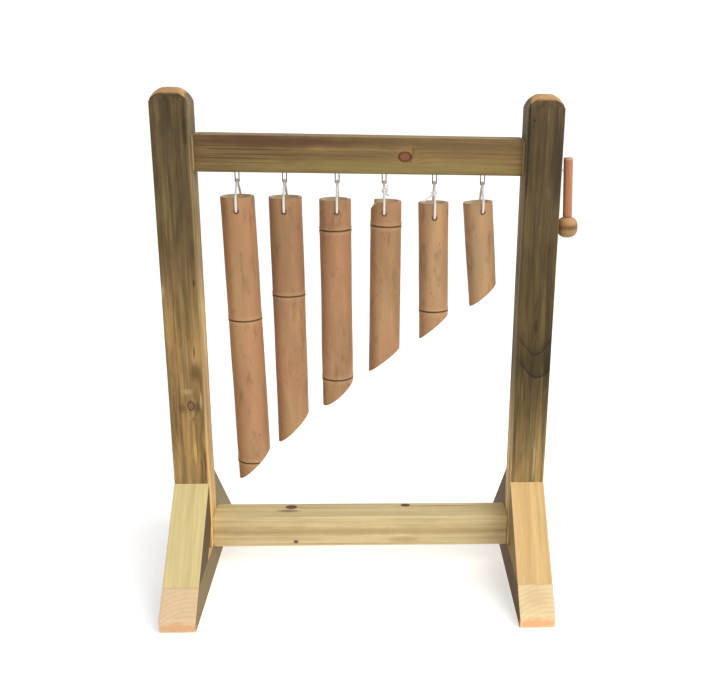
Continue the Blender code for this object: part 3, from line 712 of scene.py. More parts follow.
def rail_wood(which, seed):
    """Local X runs down the rail's face, local Y to the back and local Z to the right."""
    if which == "top":
        marks = (((-0.024, -0.032, -0.17), (0.010, 0.02, 0.17), srgb(90, 60, 40), 0.80),
                 ((-0.026, -0.032, 0.05), (0.006, 0.02, 0.10), srgb(98, 72, 46), 0.45),
                 ((0.022, -0.032, 0.06), (0.012, 0.02, 0.26), srgb(146, 130, 74), 0.55),
                 ((-0.018, -0.032, 0.20), (0.010, 0.02, 0.12), srgb(106, 84, 52), 0.45),
                 ((-0.009, -0.032, -0.225), (0.0012, 0.02, 0.085), srgb(74, 48, 30), 0.70),
                 ((0.000, -0.032, -0.215), (0.0011, 0.02, 0.095), srgb(80, 54, 32), 0.65),
                 ((0.008, -0.032, -0.230), (0.0013, 0.02, 0.080), srgb(78, 52, 30), 0.70),
                 ((0.016, -0.032, -0.200), (0.0011, 0.02, 0.070), srgb(86, 62, 36), 0.60),
                 ((0.000, -0.032, -0.3085), (0.05, 0.02, 0.0022), srgb(196, 172, 128), 0.75),
                 ((0.000, -0.032, 0.3085), (0.05, 0.02, 0.0022), srgb(186, 164, 122), 0.75),
                 ((0.008, -0.032, 0.0945), (0.0042, 0.02, 0.0017), srgb(62, 38, 24), 0.70),
                 ((0.001, -0.032, 0.0975), (0.0042, 0.02, 0.0017), srgb(56, 34, 22), 0.75),
                 ((-0.006, -0.032, 0.1000), (0.0042, 0.02, 0.0017), srgb(56, 34, 22), 0.75),
                 ((-0.012, -0.032, 0.0995), (0.0030, 0.02, 0.0028), srgb(60, 34, 22), 0.65),
                 ((-0.003, -0.032, 0.0860), (0.0160, 0.02, 0.0160), srgb(152, 112, 66), 0.55))
        knots = (((0.001, -0.0315, 0.084), 0.0078,
                  ("y", srgb(138, 84, 56), srgb(104, 58, 38), srgb(50, 26, 16))),)
        # The top face is painted lighter than the front: painted light.
        return wood("top_rail_wood", srgb(130, 105, 63), srgb(74, 50, 28), seed, (0.085, 0.035), 0.0072,
                    0.006, 0.80,
                    (), (("x", -1, (1.75, 1.95, 2.2, 1.0), 0.9),), marks, knots, srgb(170, 140, 95), 0.76,
                    0.35, 0.22, 0.55)
    marks = (((0.000, -0.032, 0.0), (0.009, 0.02, 0.40), srgb(172, 144, 94), 0.60),
             ((-0.034, -0.004, -0.155), (0.02, 0.006, 0.02), srgb(96, 58, 44), 0.65),
             # painted highlight along the front top arris
             ((-0.0335, -0.0335, 0.0), (0.0030, 0.0030, 0.40), srgb(238, 218, 172), 0.85),
             ((-0.034, 0.010, -0.100), (0.02, 0.002, 0.060), srgb(156, 124, 80), 0.60),
             ((-0.034, 0.016, 0.170), (0.02, 0.003, 0.070), srgb(150, 120, 76), 0.60),
             ((0.020, -0.032, 0.090), (0.006, 0.02, 0.030), srgb(176, 148, 96), 0.55),
             ((0.029, -0.032, -0.06), (0.0015, 0.02, 0.20), srgb(178, 150, 100), 0.60))
    knots = (((-0.0345, 0.014, -0.150), 0.0072, ("x", srgb(120, 78, 58), srgb(92, 56, 42), srgb(54, 34, 26))),
             ((-0.0345, 0.020, 0.094), 0.0058, ("x", srgb(110, 74, 50), srgb(84, 54, 38), srgb(52, 36, 26))),
             ((0.024, -0.0315, -0.138), 0.0030,
              ("y", srgb(130, 98, 66), srgb(100, 72, 48), srgb(80, 56, 38))))
    # The top face is painted a little darker than the front: painted shade.
    return wood("bottom_rail_wood", srgb(224, 202, 150), srgb(170, 140, 90), seed, (0.060, 0.045), 0.0090,
                0.008, 0.34,
                (), (("x", -1, (0.90, 0.90, 0.88, 1.0), 0.9),), marks, knots, srgb(190, 160, 110), 0.74,
                0.35, 0.18, 0.22)


def build_bearer(word):
    node = f"{word}_bearer"
    low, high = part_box(node)
    half_x = (high.x - low.x) / 2
    reach = (high.y - low.y) / 2
    top = high.z
    brace_low, brace_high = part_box(f"{word}_rear_brace")
    slope = (brace_high.z - TOE_H) / (reach - brace_low.y)
    bevel = reach - (top - TOE_H) / slope
    along = Matrix.Rotation(math.radians(-90), 4, "X")       # local Z to the back, local Y down
    stations = sorted(set(spaced(-reach, -bevel, 0.004) + spaced(-bevel, bevel, 0.006) + spaced(bevel, reach,
                                                                                                0.004)))
    rings = []
    for y in stations:
        up = min(top, TOE_H + (reach - abs(y)) * slope)
        inset = 0.0010 if abs(y) > reach - 0.0001 else 0.0
        ring = section((-half_x + inset, -up + inset), (half_x - inset, -inset), FOOT_ARRIS, (16, 12), 3)
        rings.append(raised(ring, y))
    bm = weathered(loft(rings), 0.00018, 12 if word == "left" else 19)
    if word == "left":
        material = foot_wood("left_bearer_wood", 4.0, srgb(236, 205, 150), srgb(196, 158, 104),
                             srgb(255, 222, 178),
                             (((0.0, -0.010, -0.246), (0.05, 0.010, 0.008), srgb(226, 170, 122), 0.75),))
    else:
        rings_mark = (((0.0, -0.05, -0.215), (0.02, 0.02, 0.02), srgb(225, 180, 140), 0.4),
                      ((0.0, -0.010, -0.246), (0.05, 0.010, 0.008), srgb(240, 168, 116), 0.75))
        material = foot_wood("right_bearer_wood", 9.0, srgb(230, 200, 140), srgb(178, 136, 86),
                             srgb(255, 230, 178), rings_mark)
    middle = ((low.x + high.x) / 2, 0, 0)
    bearer = finished(f"{word}_bearer_timber", bm, [material], middle, along, 30)
    cutters = []
    for end in ("front", "rear"):
        screw_low, screw_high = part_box(f"brace_screw_{word}_{end}")
        at = ((screw_low + screw_high) / 2 - Vector(middle))
        cutters.append(screw_recess((at.x, 0, at.y), (0, -1, 0)))
    coach_low, coach_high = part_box(f"coach_washer_{word}")
    at = (coach_low + coach_high) / 2 - Vector(middle)
    bore = lathe([(0.0, -0.002), (COACH_BORE_R, -0.002), (COACH_BORE_R, coach_high.z), (0.0, coach_high.z)],
                 48)
    cutters.append(pointed(bore, (0, -1, 0), (at.x, 0, at.y)))
    cut_away(bearer, cutters)
    return stands_for(bearer, node)


def build_brace(word, end):
    """A knee brace: its rings run evenly from the level foot to the upright top."""
    node = f"{word}_{end}_brace"
    low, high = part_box(node)
    sign = -1 if end == "front" else 1
    toe = max(abs(low.y), abs(high.y))
    face = min(abs(low.y), abs(high.y))
    slope = (high.z - low.z) / (toe - face)
    angle = math.atan(slope)
    run = BRACE_T / math.sin(angle)
    half_x = (high.x - low.x) / 2
    middle = Vector(((low.x + high.x) / 2, sign * (toe + face) / 2, (low.z + high.z) / 2))
    out = Vector((0, sign * math.sin(angle), math.cos(angle)))     # square to the outer face
    up = Vector((0, -sign * math.cos(angle), math.sin(angle)))
    basis = Matrix((Vector((sign, 0, 0)), out, up)).transposed().to_4x4()
    turn = basis if basis.determinant() > 0 else basis @ Matrix.Scale(-1, 4, (1, 0, 0))
    inverse = (Matrix.Translation(middle) @ turn).inverted()
    flat = section((-half_x, 0.0), (half_x, BRACE_T), FOOT_ARRIS, (16, 14), 3)
    rings = []
    for share in spaced(0.0, 1.0, 0.03):
        ring = []
        for point in flat:
            depth = point.y / BRACE_T
            foot = Vector((middle.x + point.x, sign * (toe - run * (1 - depth)), low.z))
            top = Vector((middle.x + point.x, sign * face, high.z - run * slope * (1 - depth)))
            ring.append(inverse @ foot.lerp(top, share))
        rings.append(ring)
    seed = {"left_front": 23, "left_rear": 29, "right_front": 37, "right_rear": 41}[f"{word}_{end}"]
    bm = weathered(loft(rings), 0.00018, seed)
    if word == "left":
        marks = (((0.020, 0.035, 0.107), (0.012, 0.02, 0.006), srgb(170, 150, 92), 0.45),)
        material = foot_wood(f"left_{end}_brace_wood", seed, srgb(240, 220, 158), srgb(205, 180, 116),
                             srgb(226, 200, 140), marks, (), (0.015, -0.080))
    else:
        material = foot_wood(f"right_{end}_brace_wood", seed, srgb(236, 198, 136), srgb(206, 160, 100),
                             srgb(226, 190, 130), (), (), (0.012, -0.060))
    brace = finished(f"{word}_{end}_brace_timber", bm, [material], middle, turn, 30)
    return stands_for(brace, node)


# ---------------------------------------------------------------- screws
def zinc():
    shader = Shader("zinc_plate", 0.34, 1.0, 0.5)
    dull = shader.noise((700, 700, 700), 4.0, 2.0)
    patch = shader.noise((160, 160, 160), 2.0, 7.0)
    colour = shader.mix(shader.scaled(dull, 0.3, 0.7), srgb(176, 176, 172), srgb(208, 208, 205))
    colour = shader.mix(shader.times(shader.scaled(patch, 0.5, 0.8), 0.6), colour, srgb(150, 143, 126))
    shader.give("Base Color", colour)
    shader.give("Roughness", shader.plus(0.26, shader.times(dull, 0.25)))
    shader.bump(dull, 0.00006)
    return shader.material


def cross_recess(size):
    """A cross-shaped driver recess that narrows as it goes in, cut from z = 0 upwards."""
    cutters = []
    for turn in (0, 90):
        bm = bmesh.new()
        bmesh.ops.create_cube(bm, size=1.0)
        for vert in bm.verts:
            narrow = 1.0 if vert.co.z < 0 else 0.35
            vert.co = Vector((vert.co.x * size * 2 * narrow, vert.co.y * size * 0.42 * narrow,
                              -0.0006 if vert.co.z < 0 else size * 0.9))
        bmesh.ops.rotate(bm, verts=bm.verts, matrix=Matrix.Rotation(math.radians(turn), 3, "Z"))
        cutters.append(bm)
    return cutters


def build_screw(node, direction, material):
    """A countersunk wood screw with a cross recess and a raised thread."""
    low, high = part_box(node)
    axis = Vector(direction)
    length = abs((high - low).dot(axis))
    centre = (low + high) / 2
    place = centre - axis * length / 2 + axis * 0.0002
    head_h = SCREW_HEAD_R - SCREW_SHANK_R
    profile = [(0.0, 0.0), (SCREW_HEAD_R - 0.0004, 0.0), (SCREW_HEAD_R, 0.0003), (SCREW_HEAD_R, 0.0006),
               (SCREW_SHANK_R, head_h + 0.0006)]
    thread_from = length * 0.45
    turns = int((length * 0.97 - thread_from) / SCREW_PITCH)
    for k in range(turns):
        z = thread_from + k * SCREW_PITCH
        taper = min(1.0, (length - z) / (4 * SCREW_SHANK_R))
        profile += [(SCREW_SHANK_R * 0.68 * taper, z), (SCREW_SHANK_R * 0.68 * taper, z + SCREW_PITCH * 0.55),
                    (SCREW_SHANK_R * taper, z + SCREW_PITCH * 0.75),
                    (SCREW_SHANK_R * 0.68 * taper, z + SCREW_PITCH * 0.98)]
    profile.append((0.0, length - 0.0002))
    screw = finished(f"{node}_steel", lathe(profile, 28), [material], place,
                     Vector((0, 0, 1)).rotation_difference(axis).to_matrix().to_4x4(), 35)
    cut_away(screw, cross_recess(SCREW_HEAD_R * 0.45))
    return stands_for(screw, node)


def build_screws(metal):
    for word, side in (("left", -1), ("right", 1)):
        for node, _ in rail_screws(word):
            build_screw(node, (-side, 0, 0), metal)
        for end in ("front", "rear"):
            build_screw(f"brace_screw_{word}_{end}", (0, 0, 1), metal)
    for node, obj in frame["nodes"].items():
        if node.startswith("coach_"):
            dress(obj, metal)
            bevel = obj.modifiers.new("edge", "BEVEL")
            bevel.width = 0.0003
            bevel.segments = 2
            bevel.limit_method = "ANGLE"
            bevel.angle_limit = math.radians(40)


def dress(obj, material):
    obj.data.materials.clear()
    obj.data.materials.append(material)


# ---------------------------------------------------------------- chimes
# What the frame doesn't say of each tube: its lean, its axis's offset from the hole, its top
# and bottom radii, the slanting cut's rise and turn, and its nodes' heights from the hole.
TUBES = (
    dict(lean=1.4, shift=-0.0008, r=(0.0323, 0.0332), rise=0.063, turn=10.0, nodes=(-0.2147, -0.5167)),
    dict(lean=0.6, shift=0.0004, r=(0.0319, 0.0318), rise=0.063, turn=9.0, nodes=(-0.1655,)),
    dict(lean=0.2, shift=-0.0044, r=(0.0307, 0.0311), rise=0.054, turn=16.0, nodes=(-0.036, -0.3365)),
    dict(lean=-0.5, shift=0.004, r=(0.0298, 0.031), rise=0.051, turn=-8.0, nodes=(-0.025,)),
    dict(lean=1.1, shift=-0.0008, r=(0.0291, 0.0286), rise=0.049, turn=-9.0, nodes=(-0.1865,)),
    dict(lean=4.8, shift=-0.0064, r=(0.0287, 0.0278), rise=0.042, turn=2.0, nodes=()),
)
CHIPPED_TUBE = 4
TUBE_SIDES = 96
NODE_TILT = 0.018                 # how far a node's line is out of square


def node_line(number, index, x, y):
    """Height of a node's groove at x, y from where it is on the tube's axis."""
    turn = 2.1 * number + 1.3 * index
    return NODE_TILT * (x * math.cos(turn) + y * math.sin(turn))


def bamboo(number, tube, top):
    """Dry bamboo with its fibres along Z, pinkish patches, dark flecks, dark node lines and painted shade
    down its left side.
    """
    shader = Shader(f"bamboo_{number}", 0.58, 0.0, 0.40)
    seed = number * 6.7
    tones = ((172, 130, 90), (158, 119, 82), (154, 118, 82), (158, 123, 85), (164, 131, 93), (172, 140, 101))
    base = srgb(*tones[number - 1])
    warm = srgb(190, 136, 94)
    straw = srgb(196, 160, 108)
    umber = srgb(112, 80, 54)
    cloud = shader.scaled(shader.noise((22, 22, 7), 3.0, seed), 0.32, 0.70)
    colour = shader.mix(shader.times(cloud, 0.75), base, warm)
    pale = shader.scaled(shader.noise((34, 34, 5), 3.0, seed + 9), 0.48, 0.78)
    colour = shader.mix(shader.times(pale, 0.65), colour, straw)
    smear = shader.scaled(shader.noise((48, 48, 16), 4.0, seed + 17, rough=0.65), 0.54, 0.80)
    colour = shader.mix(shader.times(smear, 0.85), colour, umber)
    fibre = shader.noise((750, 750, 14), 3.0, seed + 23, rough=0.6)
    tone = shader.plus(0.86, shader.times(fibre, 0.28))
    colour = shader.mix(1.0, colour, shader.vector("SCALE", (1.0, 1.0, 1.0), tone), "MULTIPLY")
    fleck = shader.ramp(shader.noise((300, 300, 110), 2.0, seed + 31),
                        ((0.0, 0.0), (0.66, 0.0), (0.74, 1.0), (1.0, 1.0)))
    colour = shader.mix(shader.times(fleck, 0.60), colour, srgb(104, 68, 44))
    x, y, z = shader.split(shader.place)
    for index, height in enumerate(tube["nodes"]):
        turn = 2.1 * number + 1.3 * index
        lift = shader.plus(shader.times(x, NODE_TILT * math.cos(turn)),
                            shader.times(y, NODE_TILT * math.sin(turn)))
        lift = shader.minus(lift, NODE_TILT * math.cos(turn) * tube["shift"])
        from_line = shader.minus(shader.minus(z, height), lift)
        wander = shader.drift((160, 160, 60), 2.0, seed + 40, 0.0012)
        away = shader.maths("ABSOLUTE", shader.plus(from_line, wander))
        halo = shader.fading(away, 0.0015, 0.0110)
        colour = shader.mix(shader.times(halo, 0.30), colour, srgb(214, 176, 122))
        line = shader.fading(away, 0.0008, 0.0027)
        colour = shader.mix(shader.times(line, 0.88), colour, srgb(80, 48, 28))
    # Painted shade: the left side of each tube is darker.
    side = shader.scaled(shader.times(shader.minus(tube["shift"], x), 1 / tube["r"][0]), 0.50, 1.0)
    colour = shader.tinted(shader.times(side, 0.42), colour, (0.62, 0.50, 0.42, 1.0))
    upper = (0.10, 0.26, 0.16, 0.10, 0.08, 0.02)[number - 1]
    colour = shader.tinted(shader.times(shader.scaled(z, -0.19, -0.10), upper), colour,
                           (0.50, 0.46, 0.42, 1.0))
    rim = shader.scaled(z, top - 0.004, top)
    colour = shader.mix(shader.times(rim, 0.40), colour, srgb(150, 124, 96))
    # The inner wall is paler than the skin, and part of this lightness is painted light inside the tube.
    across = shader.vector("LENGTH",
                           shader.vector("MULTIPLY",
                                         shader.vector("SUBTRACT", shader.place, (tube["shift"], 0, 0)),
                                         (1, 1, 0)))
    within = shader.fading(across, min(tube["r"]) - 0.0036, min(tube["r"]) - 0.0026)
    colour = shader.mix(shader.times(within, 0.85), colour, srgb(226, 200, 158))
    bore = shader.minus(shader.vector("LENGTH", shader.vector("MULTIPLY", shader.place, (1, 0, 1))), HOLE_R)
    scorch = shader.fading(bore, 0.0, 0.0022)
    colour = shader.mix(shader.times(scorch, 0.80), colour, srgb(120, 56, 34))
    shader.give("Base Color", colour)
    shader.give("Roughness", shader.plus(0.50, shader.times(fibre, 0.22)))
    shader.bump(fibre, 0.00012)
    shader.bump(smear, 0.00020)
    return shader.material


def bamboo_cut():
    """Sawn bamboo: pale, with the dark dots of its fibre bundles."""
    shader = Shader("bamboo_cut", 0.8, 0.0, 0.2)
    cells = shader.tree.nodes.new("ShaderNodeTexVoronoi")
    cells.inputs["Scale"].default_value = 900.0
    shader.put(cells.inputs["Vector"], shader.place)
    dots = shader.fading(cells.outputs["Distance"], 0.10, 0.42)
    soft = shader.noise((120, 120, 120), 3.0, 4.0)
    colour = shader.mix(soft, srgb(206, 174, 126), srgb(182, 146, 102))
    colour = shader.mix(shader.times(dots, 0.6), colour, srgb(128, 90, 58))
    shader.give("Base Color", colour)
    shader.bump(dots, 0.00015)
    return shader.material


def tube_rows(tube, top, bottom):
    """Heights of the outer wall's rings: even, and close together at each node."""
    rows = spaced(bottom, top - 0.0012, 0.0042) + [top - 0.0005, top - 0.0001]
    for height in tube["nodes"]:
        rows = [z for z in rows if abs(z - height) > 0.0135]
        rows += [height + sign * step for sign in (-1, 1) for step in
                 (0.0004, 0.0008, 0.0012, 0.0017, 0.0024, 0.0034, 0.0048, 0.0066, 0.0090, 0.0120)] + [height]
    return sorted(rows, reverse=True)


def build_tube(number, tube, cut_material):
    node = f"bamboo_tube_{number}"
    place = Vector(JOINTS[f"rock_{number}"]["pos_m"])
    turn = Matrix.Rotation(-math.radians(tube["lean"]), 4, "Y")
    inverse = (Matrix.Translation(place) @ turn).inverted()
    heights = [(inverse @ v.co).z for v in frame["nodes"][node].data.vertices]
    top, tip = max(heights), min(heights)
    bottom = tip - 0.004

    def outer(z, angle):
        share = (top - z) / (top - tip)
        radius = tube["r"][0] + (tube["r"][1] - tube["r"][0]) * share
        x, y = radius * math.cos(angle), radius * math.sin(angle)
        size = radius * (1 + 0.006 * math.cos(2 * angle + number))
        size += 0.0007 * noise.noise(Vector((x * 40, y * 40, z * 9 + number * 5)))
        size += 0.00016 * noise.noise(Vector((x * 420, y * 420, z * 6 + number)))
        for index, height in enumerate(tube["nodes"]):
            away = z - height - node_line(number, index, x, y)
            size += 0.0011 * math.exp(-(away / 0.0060) ** 2) - 0.0019 * math.exp(-(away / 0.0011) ** 2)
        return size - 0.0006 * max(0.0, 1 - (top - z) / 0.0010)

    bm = bmesh.new()
    rings = []
    for z in tube_rows(tube, top, bottom):
        ring = []
        for k in range(TUBE_SIDES):
            angle = 2 * math.pi * k / TUBE_SIDES
            radius = outer(z, angle)
            ring.append(bm.verts.new((tube["shift"] + radius * math.cos(angle), radius * math.sin(angle), z)))
        rings.append(ring)
    inside = [(top, WALL), (top - 0.0006, WALL + 0.0005)]
    floors = []
    for height in tube["nodes"]:
        floors += [(height + SEPTUM_T, WALL + 0.0006), (height + SEPTUM_T / 2, None),
                   (height - SEPTUM_T / 2, None), (height - SEPTUM_T, WALL + 0.0006)]
    plain = [(z, WALL + 0.0006) for z in spaced(bottom, top - 0.010, 0.02)
             if all(abs(z - height) > 2 * SEPTUM_T for height in tube["nodes"])]
    inside += sorted(floors + plain, key=lambda row: -row[0])
    for z, wall in reversed(inside):
        ring = []
        for k in range(TUBE_SIDES):
            angle = 2 * math.pi * k / TUBE_SIDES
            radius = SEPTUM_HOLE_R if wall is None else outer(top - 0.02, angle) - wall
            if wall is not None:
                share = (top - z) / (top - tip)
                radius += (tube["r"][1] - tube["r"][0]) * share
            ring.append(bm.verts.new((tube["shift"] + radius * math.cos(angle), radius * math.sin(angle), z)))
        rings.append(ring)
    for one, two in zip(rings, rings[1:] + rings[:1]):
        for k in range(TUBE_SIDES):
            after = (k + 1) % TUBE_SIDES
            bm.faces.new((one[k], one[after], two[after], two[k]))
    body = finished(f"bamboo_{number}", bm, [bamboo(number, tube, top), cut_material], place, turn, 45)
    bore = lathe([(0.0, -0.05), (HOLE_R, -0.05), (HOLE_R, 0.05), (0.0, 0.05)], 40)
    cut_away(body, [pointed(bore, (0, 1, 0), (0, 0, 0))])
    cutters = [slant_cutter(tube, tip)]
    if number == CHIPPED_TUBE:
        cutters.append(chip_cutter(tube, top))
    cut_away(body, cutters, cut_material)
    body.data.set_sharp_from_angle(angle=math.radians(45))
    return stands_for(body, node)


def block(low, high, cuts=0):
    bm = bmesh.new()
    bmesh.ops.create_cube(bm, size=1.0)
    low, high = Vector(low), Vector(high)
    for vert in bm.verts:
        vert.co = Vector(((high[a] if vert.co[a] > 0 else low[a]) for a in range(3)))
    if cuts:
        bmesh.ops.subdivide_edges(bm, edges=bm.edges, cuts=cuts, use_grid_fill=True)
    return bm


def slant_cutter(tube, tip):
    angle = math.atan(tube["rise"] / (2 * tube["r"][1]))
    cutter = block((-0.14, -0.14, -0.14), (0.14, 0.14, 0))
    turn = Matrix.Rotation(math.radians(tube["turn"]), 4, "Z")
    tilt = Matrix.Rotation(-angle, 4, "Y")
    centre = Matrix.Translation((tube["shift"], 0, tip + tube["rise"] / 2))
    bmesh.ops.transform(cutter, matrix=centre @ turn @ tilt, verts=cutter.verts)
    return cutter


def chip_cutter(tube, top):
    """The piece that has broken out of a tube's rim, with a splintered surface."""
    cutter = block((-0.030, -0.014, -0.009), (0.0055, 0.030, 0.020), 9)
    for vert in cutter.verts:
        vert.co.x += 0.0011 * noise.noise(vert.co * 260)
        vert.co.z += 0.0009 * noise.noise(vert.co * 190 + Vector((7, 0, 0)))
    tilt = Matrix.Rotation(CHIP_TILT, 4, "Y")
    rim = Matrix.Translation((tube["shift"] - tube["r"][0] - CHIP_OUT, -CHIP_FRONT, top - CHIP_DOWN))
    bmesh.ops.transform(cutter, matrix=rim @ tilt, verts=cutter.verts)
    return cutter


# ---------------------------------------------------------------- cords and staples
def white_cord():
    shader = Shader("white_cord", 0.75, 0.0, 0.3)
    strand = shader.noise((1500, 1500, 1500), 3.0, 1.0)
    soil = shader.scaled(shader.noise((90, 90, 90), 3.0, 6.0), 0.45, 0.8)
    colour = shader.mix(strand, srgb(238, 234, 232), srgb(216, 211, 210))
    colour = shader.mix(shader.times(soil, 0.35), colour, srgb(196, 184, 168))
    shader.give("Base Color", colour)
    shader.out.inputs["Sheen Weight"].default_value = 0.25
    shader.out.inputs["Sheen Roughness"].default_value = 0.5
    shader.bump(strand, 0.00010)
    return shader.material


def braid(turn, distance):
    """Radius of a round braid: two sets of strands wind in opposite ways and cross."""
    pitch = 2 * math.pi * distance / BRAID_PITCH
    over = abs(math.cos(2 * turn + pitch))
    under = abs(math.cos(2 * turn - pitch))
    return 0.88 + 0.12 * max(over, under)


def cord_loop(number, tube):
    """Closed loop over the staple's wire, down past both lips and through the tube."""
    wire = Vector(JOINTS[f"swing_{number}"]["pos_m"])
    hole = Vector(JOINTS[f"rock_{number}"]["pos_m"])
    turn_r = WIRE_R + WIRE_GAP + CORD_R
    side = tube["r"][0] + CORD_R + CORD_GAP
    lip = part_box(f"bamboo_tube_{number}")[1].z + CORD_GAP - wire.z
    low = hole.z - wire.z
    crown = [Vector((0, turn_r * math.sin(a), turn_r * math.cos(a))) for a in
             (math.radians(60 - 10 * k) for k in range(13))]
    corners = [crown[-1], (0, -side, lip), (0, -side, low), (0, side, low), (0, side, lip), crown[0]]
    return crown[1:] + rounded_path(corners, 0.0045, 0.0006)[1:]


def build_cord(number, tube, material):
    wire = Vector(JOINTS[f"swing_{number}"]["pos_m"])
    cord = finished(f"cord_{number}", sweep(cord_loop(number, tube), CORD_R, 20, True, braid), [material],
                    wire, None, 80)
    stands_for(cord, f"hanging_cord_{number}")
    return cord


def build_knot(number, place, size, tails, material):
    """An overhand knot that joins a loop's ends, with its two short tails."""
    wire = Vector(JOINTS[f"swing_{number}"]["pos_m"])
    path = []
    for k in range(90):
        t = 2 * math.pi * k / 90
        spot = Vector((math.sin(t) + 2 * math.sin(2 * t), -math.sin(3 * t) * 1.3,
                       math.cos(t) - 2 * math.cos(2 * t)))
        path.append(spot * size + Vector(place))
    knot = finished(f"cord_{number}_knot", sweep(path, CORD_R * 0.8, 16, True, braid), [material], wire,
                    None, 80)
    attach(knot, f"cord_{number}")
    for index, corners in enumerate(tails):
        route = rounded_path([Vector(place) + Vector(c) for c in corners], 0.002, 0.0006, False)
        tail = finished(f"cord_{number}_tail_{index + 1}", sweep(route, CORD_R * 0.75, 16, False, braid),
                        [material], wire, None, 80)
        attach(tail, f"cord_{number}")


def dark_wire():
    shader = Shader("browned_wire", 0.48, 0.85, 0.5)
    rust = shader.scaled(shader.noise((500, 500, 500), 4.0, 3.0), 0.35, 0.75)
    colour = shader.mix(rust, srgb(150, 134, 122), srgb(150, 106, 84))
    shader.give("Base Color", colour)
    shader.give("Roughness", shader.plus(0.38, shader.times(rust, 0.35)))
    shader.bump(rust, 0.00008)
    return shader.material


def build_staple(number, material):
    node = f"wire_staple_{number}"
    wire = Vector(JOINTS[f"swing_{number}"]["pos_m"])
    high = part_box(node)[1]
    half = high.x - wire.x - WIRE_R
    top = high.z - wire.z
    corners = [(-half, 0, top), (-half, 0, 0), (half, 0, 0), (half, 0, top)]
    path = rounded_path(corners, 0.0016, 0.0012, False)
    staple = finished(f"staple_{number}", sweep(path, WIRE_R, 20, False), [material], wire, None, 60)
    return stands_for(staple, node)


# ---------------------------------------------------------------- beater
def beater_material(name, light, dark, seed, pith, spacing, marks=(), contrast=0.5):
    return wood(name, light, dark, seed, pith, spacing, 0.004, contrast, (), (), marks, (), None, 0.55, 0.4,
                0.2)


def build_beater(metal):
    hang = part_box("beater_hanging_screw")
    joint_y = (hang[0].y + hang[1].y) / 2
    hang_z = (hang[0].z + hang[1].z) / 2
    head_low, head_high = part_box("beater_head")
    head_middle = (head_low + head_high) / 2
    lean = BEATER_LEAN
    place = Vector((head_middle.x - HEAD_BELOW_HANG * math.sin(lean), joint_y, hang_z))
    turn = Matrix.Rotation(-lean, 4, "Y")
    foot = HEAD_H / 2 - HEAD_BELOW_HANG + 0.0003
    top = HANDLE_ABOVE_HANG
    profile = [(0.0, foot - PLUG_IN), (0.005, foot - PLUG_IN), (0.005, foot), (HANDLE_R - 0.0003, foot),
               (HANDLE_R, foot + 0.0004)]
    profile += [(HANDLE_R - 0.0001 * math.sin(90 * z) ** 2, z)
                for z in spaced(foot + 0.003, top - 0.003, 0.006)]
    for k in range(1, 7):
        angle = math.radians(15 * k)
        profile.append((HANDLE_R - 0.0022 * (1 - math.cos(angle)), top - 0.0022 + 0.0022 * math.sin(angle)))
    profile.append((0.0, top))
    reddish = beater_material("beater_handle_wood", srgb(178, 120, 84), srgb(128, 78, 50), 51, (0.02, 0.03),
                              0.0028, (((0, 0, top), (0.02, 0.02, 0.004), srgb(206, 172, 140), 0.8),))
    handle = finished("beater_stick", lathe(profile, 48), [reddish], place, turn, 40)
    cut_away(handle, keyhole())
    stands_for(handle, "beater_handle")

    half_h = HEAD_H / 2
    outside = []
    for k in range(41):
        angle = math.radians(82) * (k / 20 - 1)
        outside.append((HEAD_R * math.cos(angle) ** 0.78,
                        half_h * math.copysign(abs(math.sin(angle)) ** 0.78, angle)))
    bore = 0.0053
    floor = half_h - PLUG_IN
    head = lathe([(0.0, -half_h), *outside, (bore, half_h), (bore, floor), (0.0, floor)], 72)
    bmesh.ops.translate(head, verts=head.verts, vec=(0, 0, -HEAD_BELOW_HANG))
    centre = -HEAD_BELOW_HANG
    marks = (((0.004, -0.012, centre - 0.014), (0.030, 0.02, 0.009), srgb(142, 124, 78), 0.75),
             ((0.004, -0.015, centre + 0.001), (0.030, 0.02, 0.0042), srgb(108, 74, 44), 0.85),
             # painted light on the head's top
             ((0.0, -0.004, centre + 0.015), (0.016, 0.02, 0.008), srgb(206, 160, 112), 0.75))
    pale = beater_material("beater_head_wood", srgb(160, 120, 76), srgb(108, 72, 42), 57, (0.03, 0.0),
                           0.0050, marks)
    ball = finished("beater_knob", head, [pale], place, turn, 50)
    stands_for(ball, "beater_head")
    build_hanger(metal)


def keyhole():
    """Cutters for the slot in the handle's back: wide hole below, undercut slot above it."""
    narrow, wide = HANGER_R + 0.0005, HANGER_HEAD_R + 0.0005
    back, bottom = -HANDLE_R - 0.0005, -HANDLE_R + 0.0068
    entry = lathe([(0.0, 0.0), (wide, 0.0), (wide, bottom - back), (0.0, bottom - back)], 32)
    yield pointed(entry, (1, 0, 0), (back, 0, -SLOT_TRAVEL))
    for half, start in ((narrow, back), (wide, -HANDLE_R + 0.0022)):
        yield block((start, -half, -SLOT_TRAVEL), (bottom - 0.0003, half, half))


def build_hanger(metal):
    """Pan-head screw whose head stands off the post, inside the keyhole slot."""
    node = "beater_hanging_screw"
    low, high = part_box(node)
    length = high.x - low.x
    profile = [(0.0, 0.0), (0.0018, 0.0001), (0.0027, 0.0005), (0.0032, 0.0012), (HANGER_HEAD_R, 0.0022),
               (HANGER_R, 0.0022)]
    for k in range(8):
        z = 0.012 + k * 0.0020
        profile += [(HANGER_R * 0.7, z), (HANGER_R * 0.7, z + 0.0011), (HANGER_R, z + 0.0015),
                    (HANGER_R * 0.7, z + 0.0019)]
    profile.append((0.0, length))
    start = Vector((high.x, (low.y + high.y) / 2, (low.z + high.z) / 2))
    turn = Vector((0, 0, 1)).rotation_difference(Vector((-1, 0, 0))).to_matrix().to_4x4()
    screw = finished("beater_screw_steel", lathe(profile, 28), [metal], start, turn, 35)
    cut_away(screw, cross_recess(0.0014))
    stands_for(screw, node)


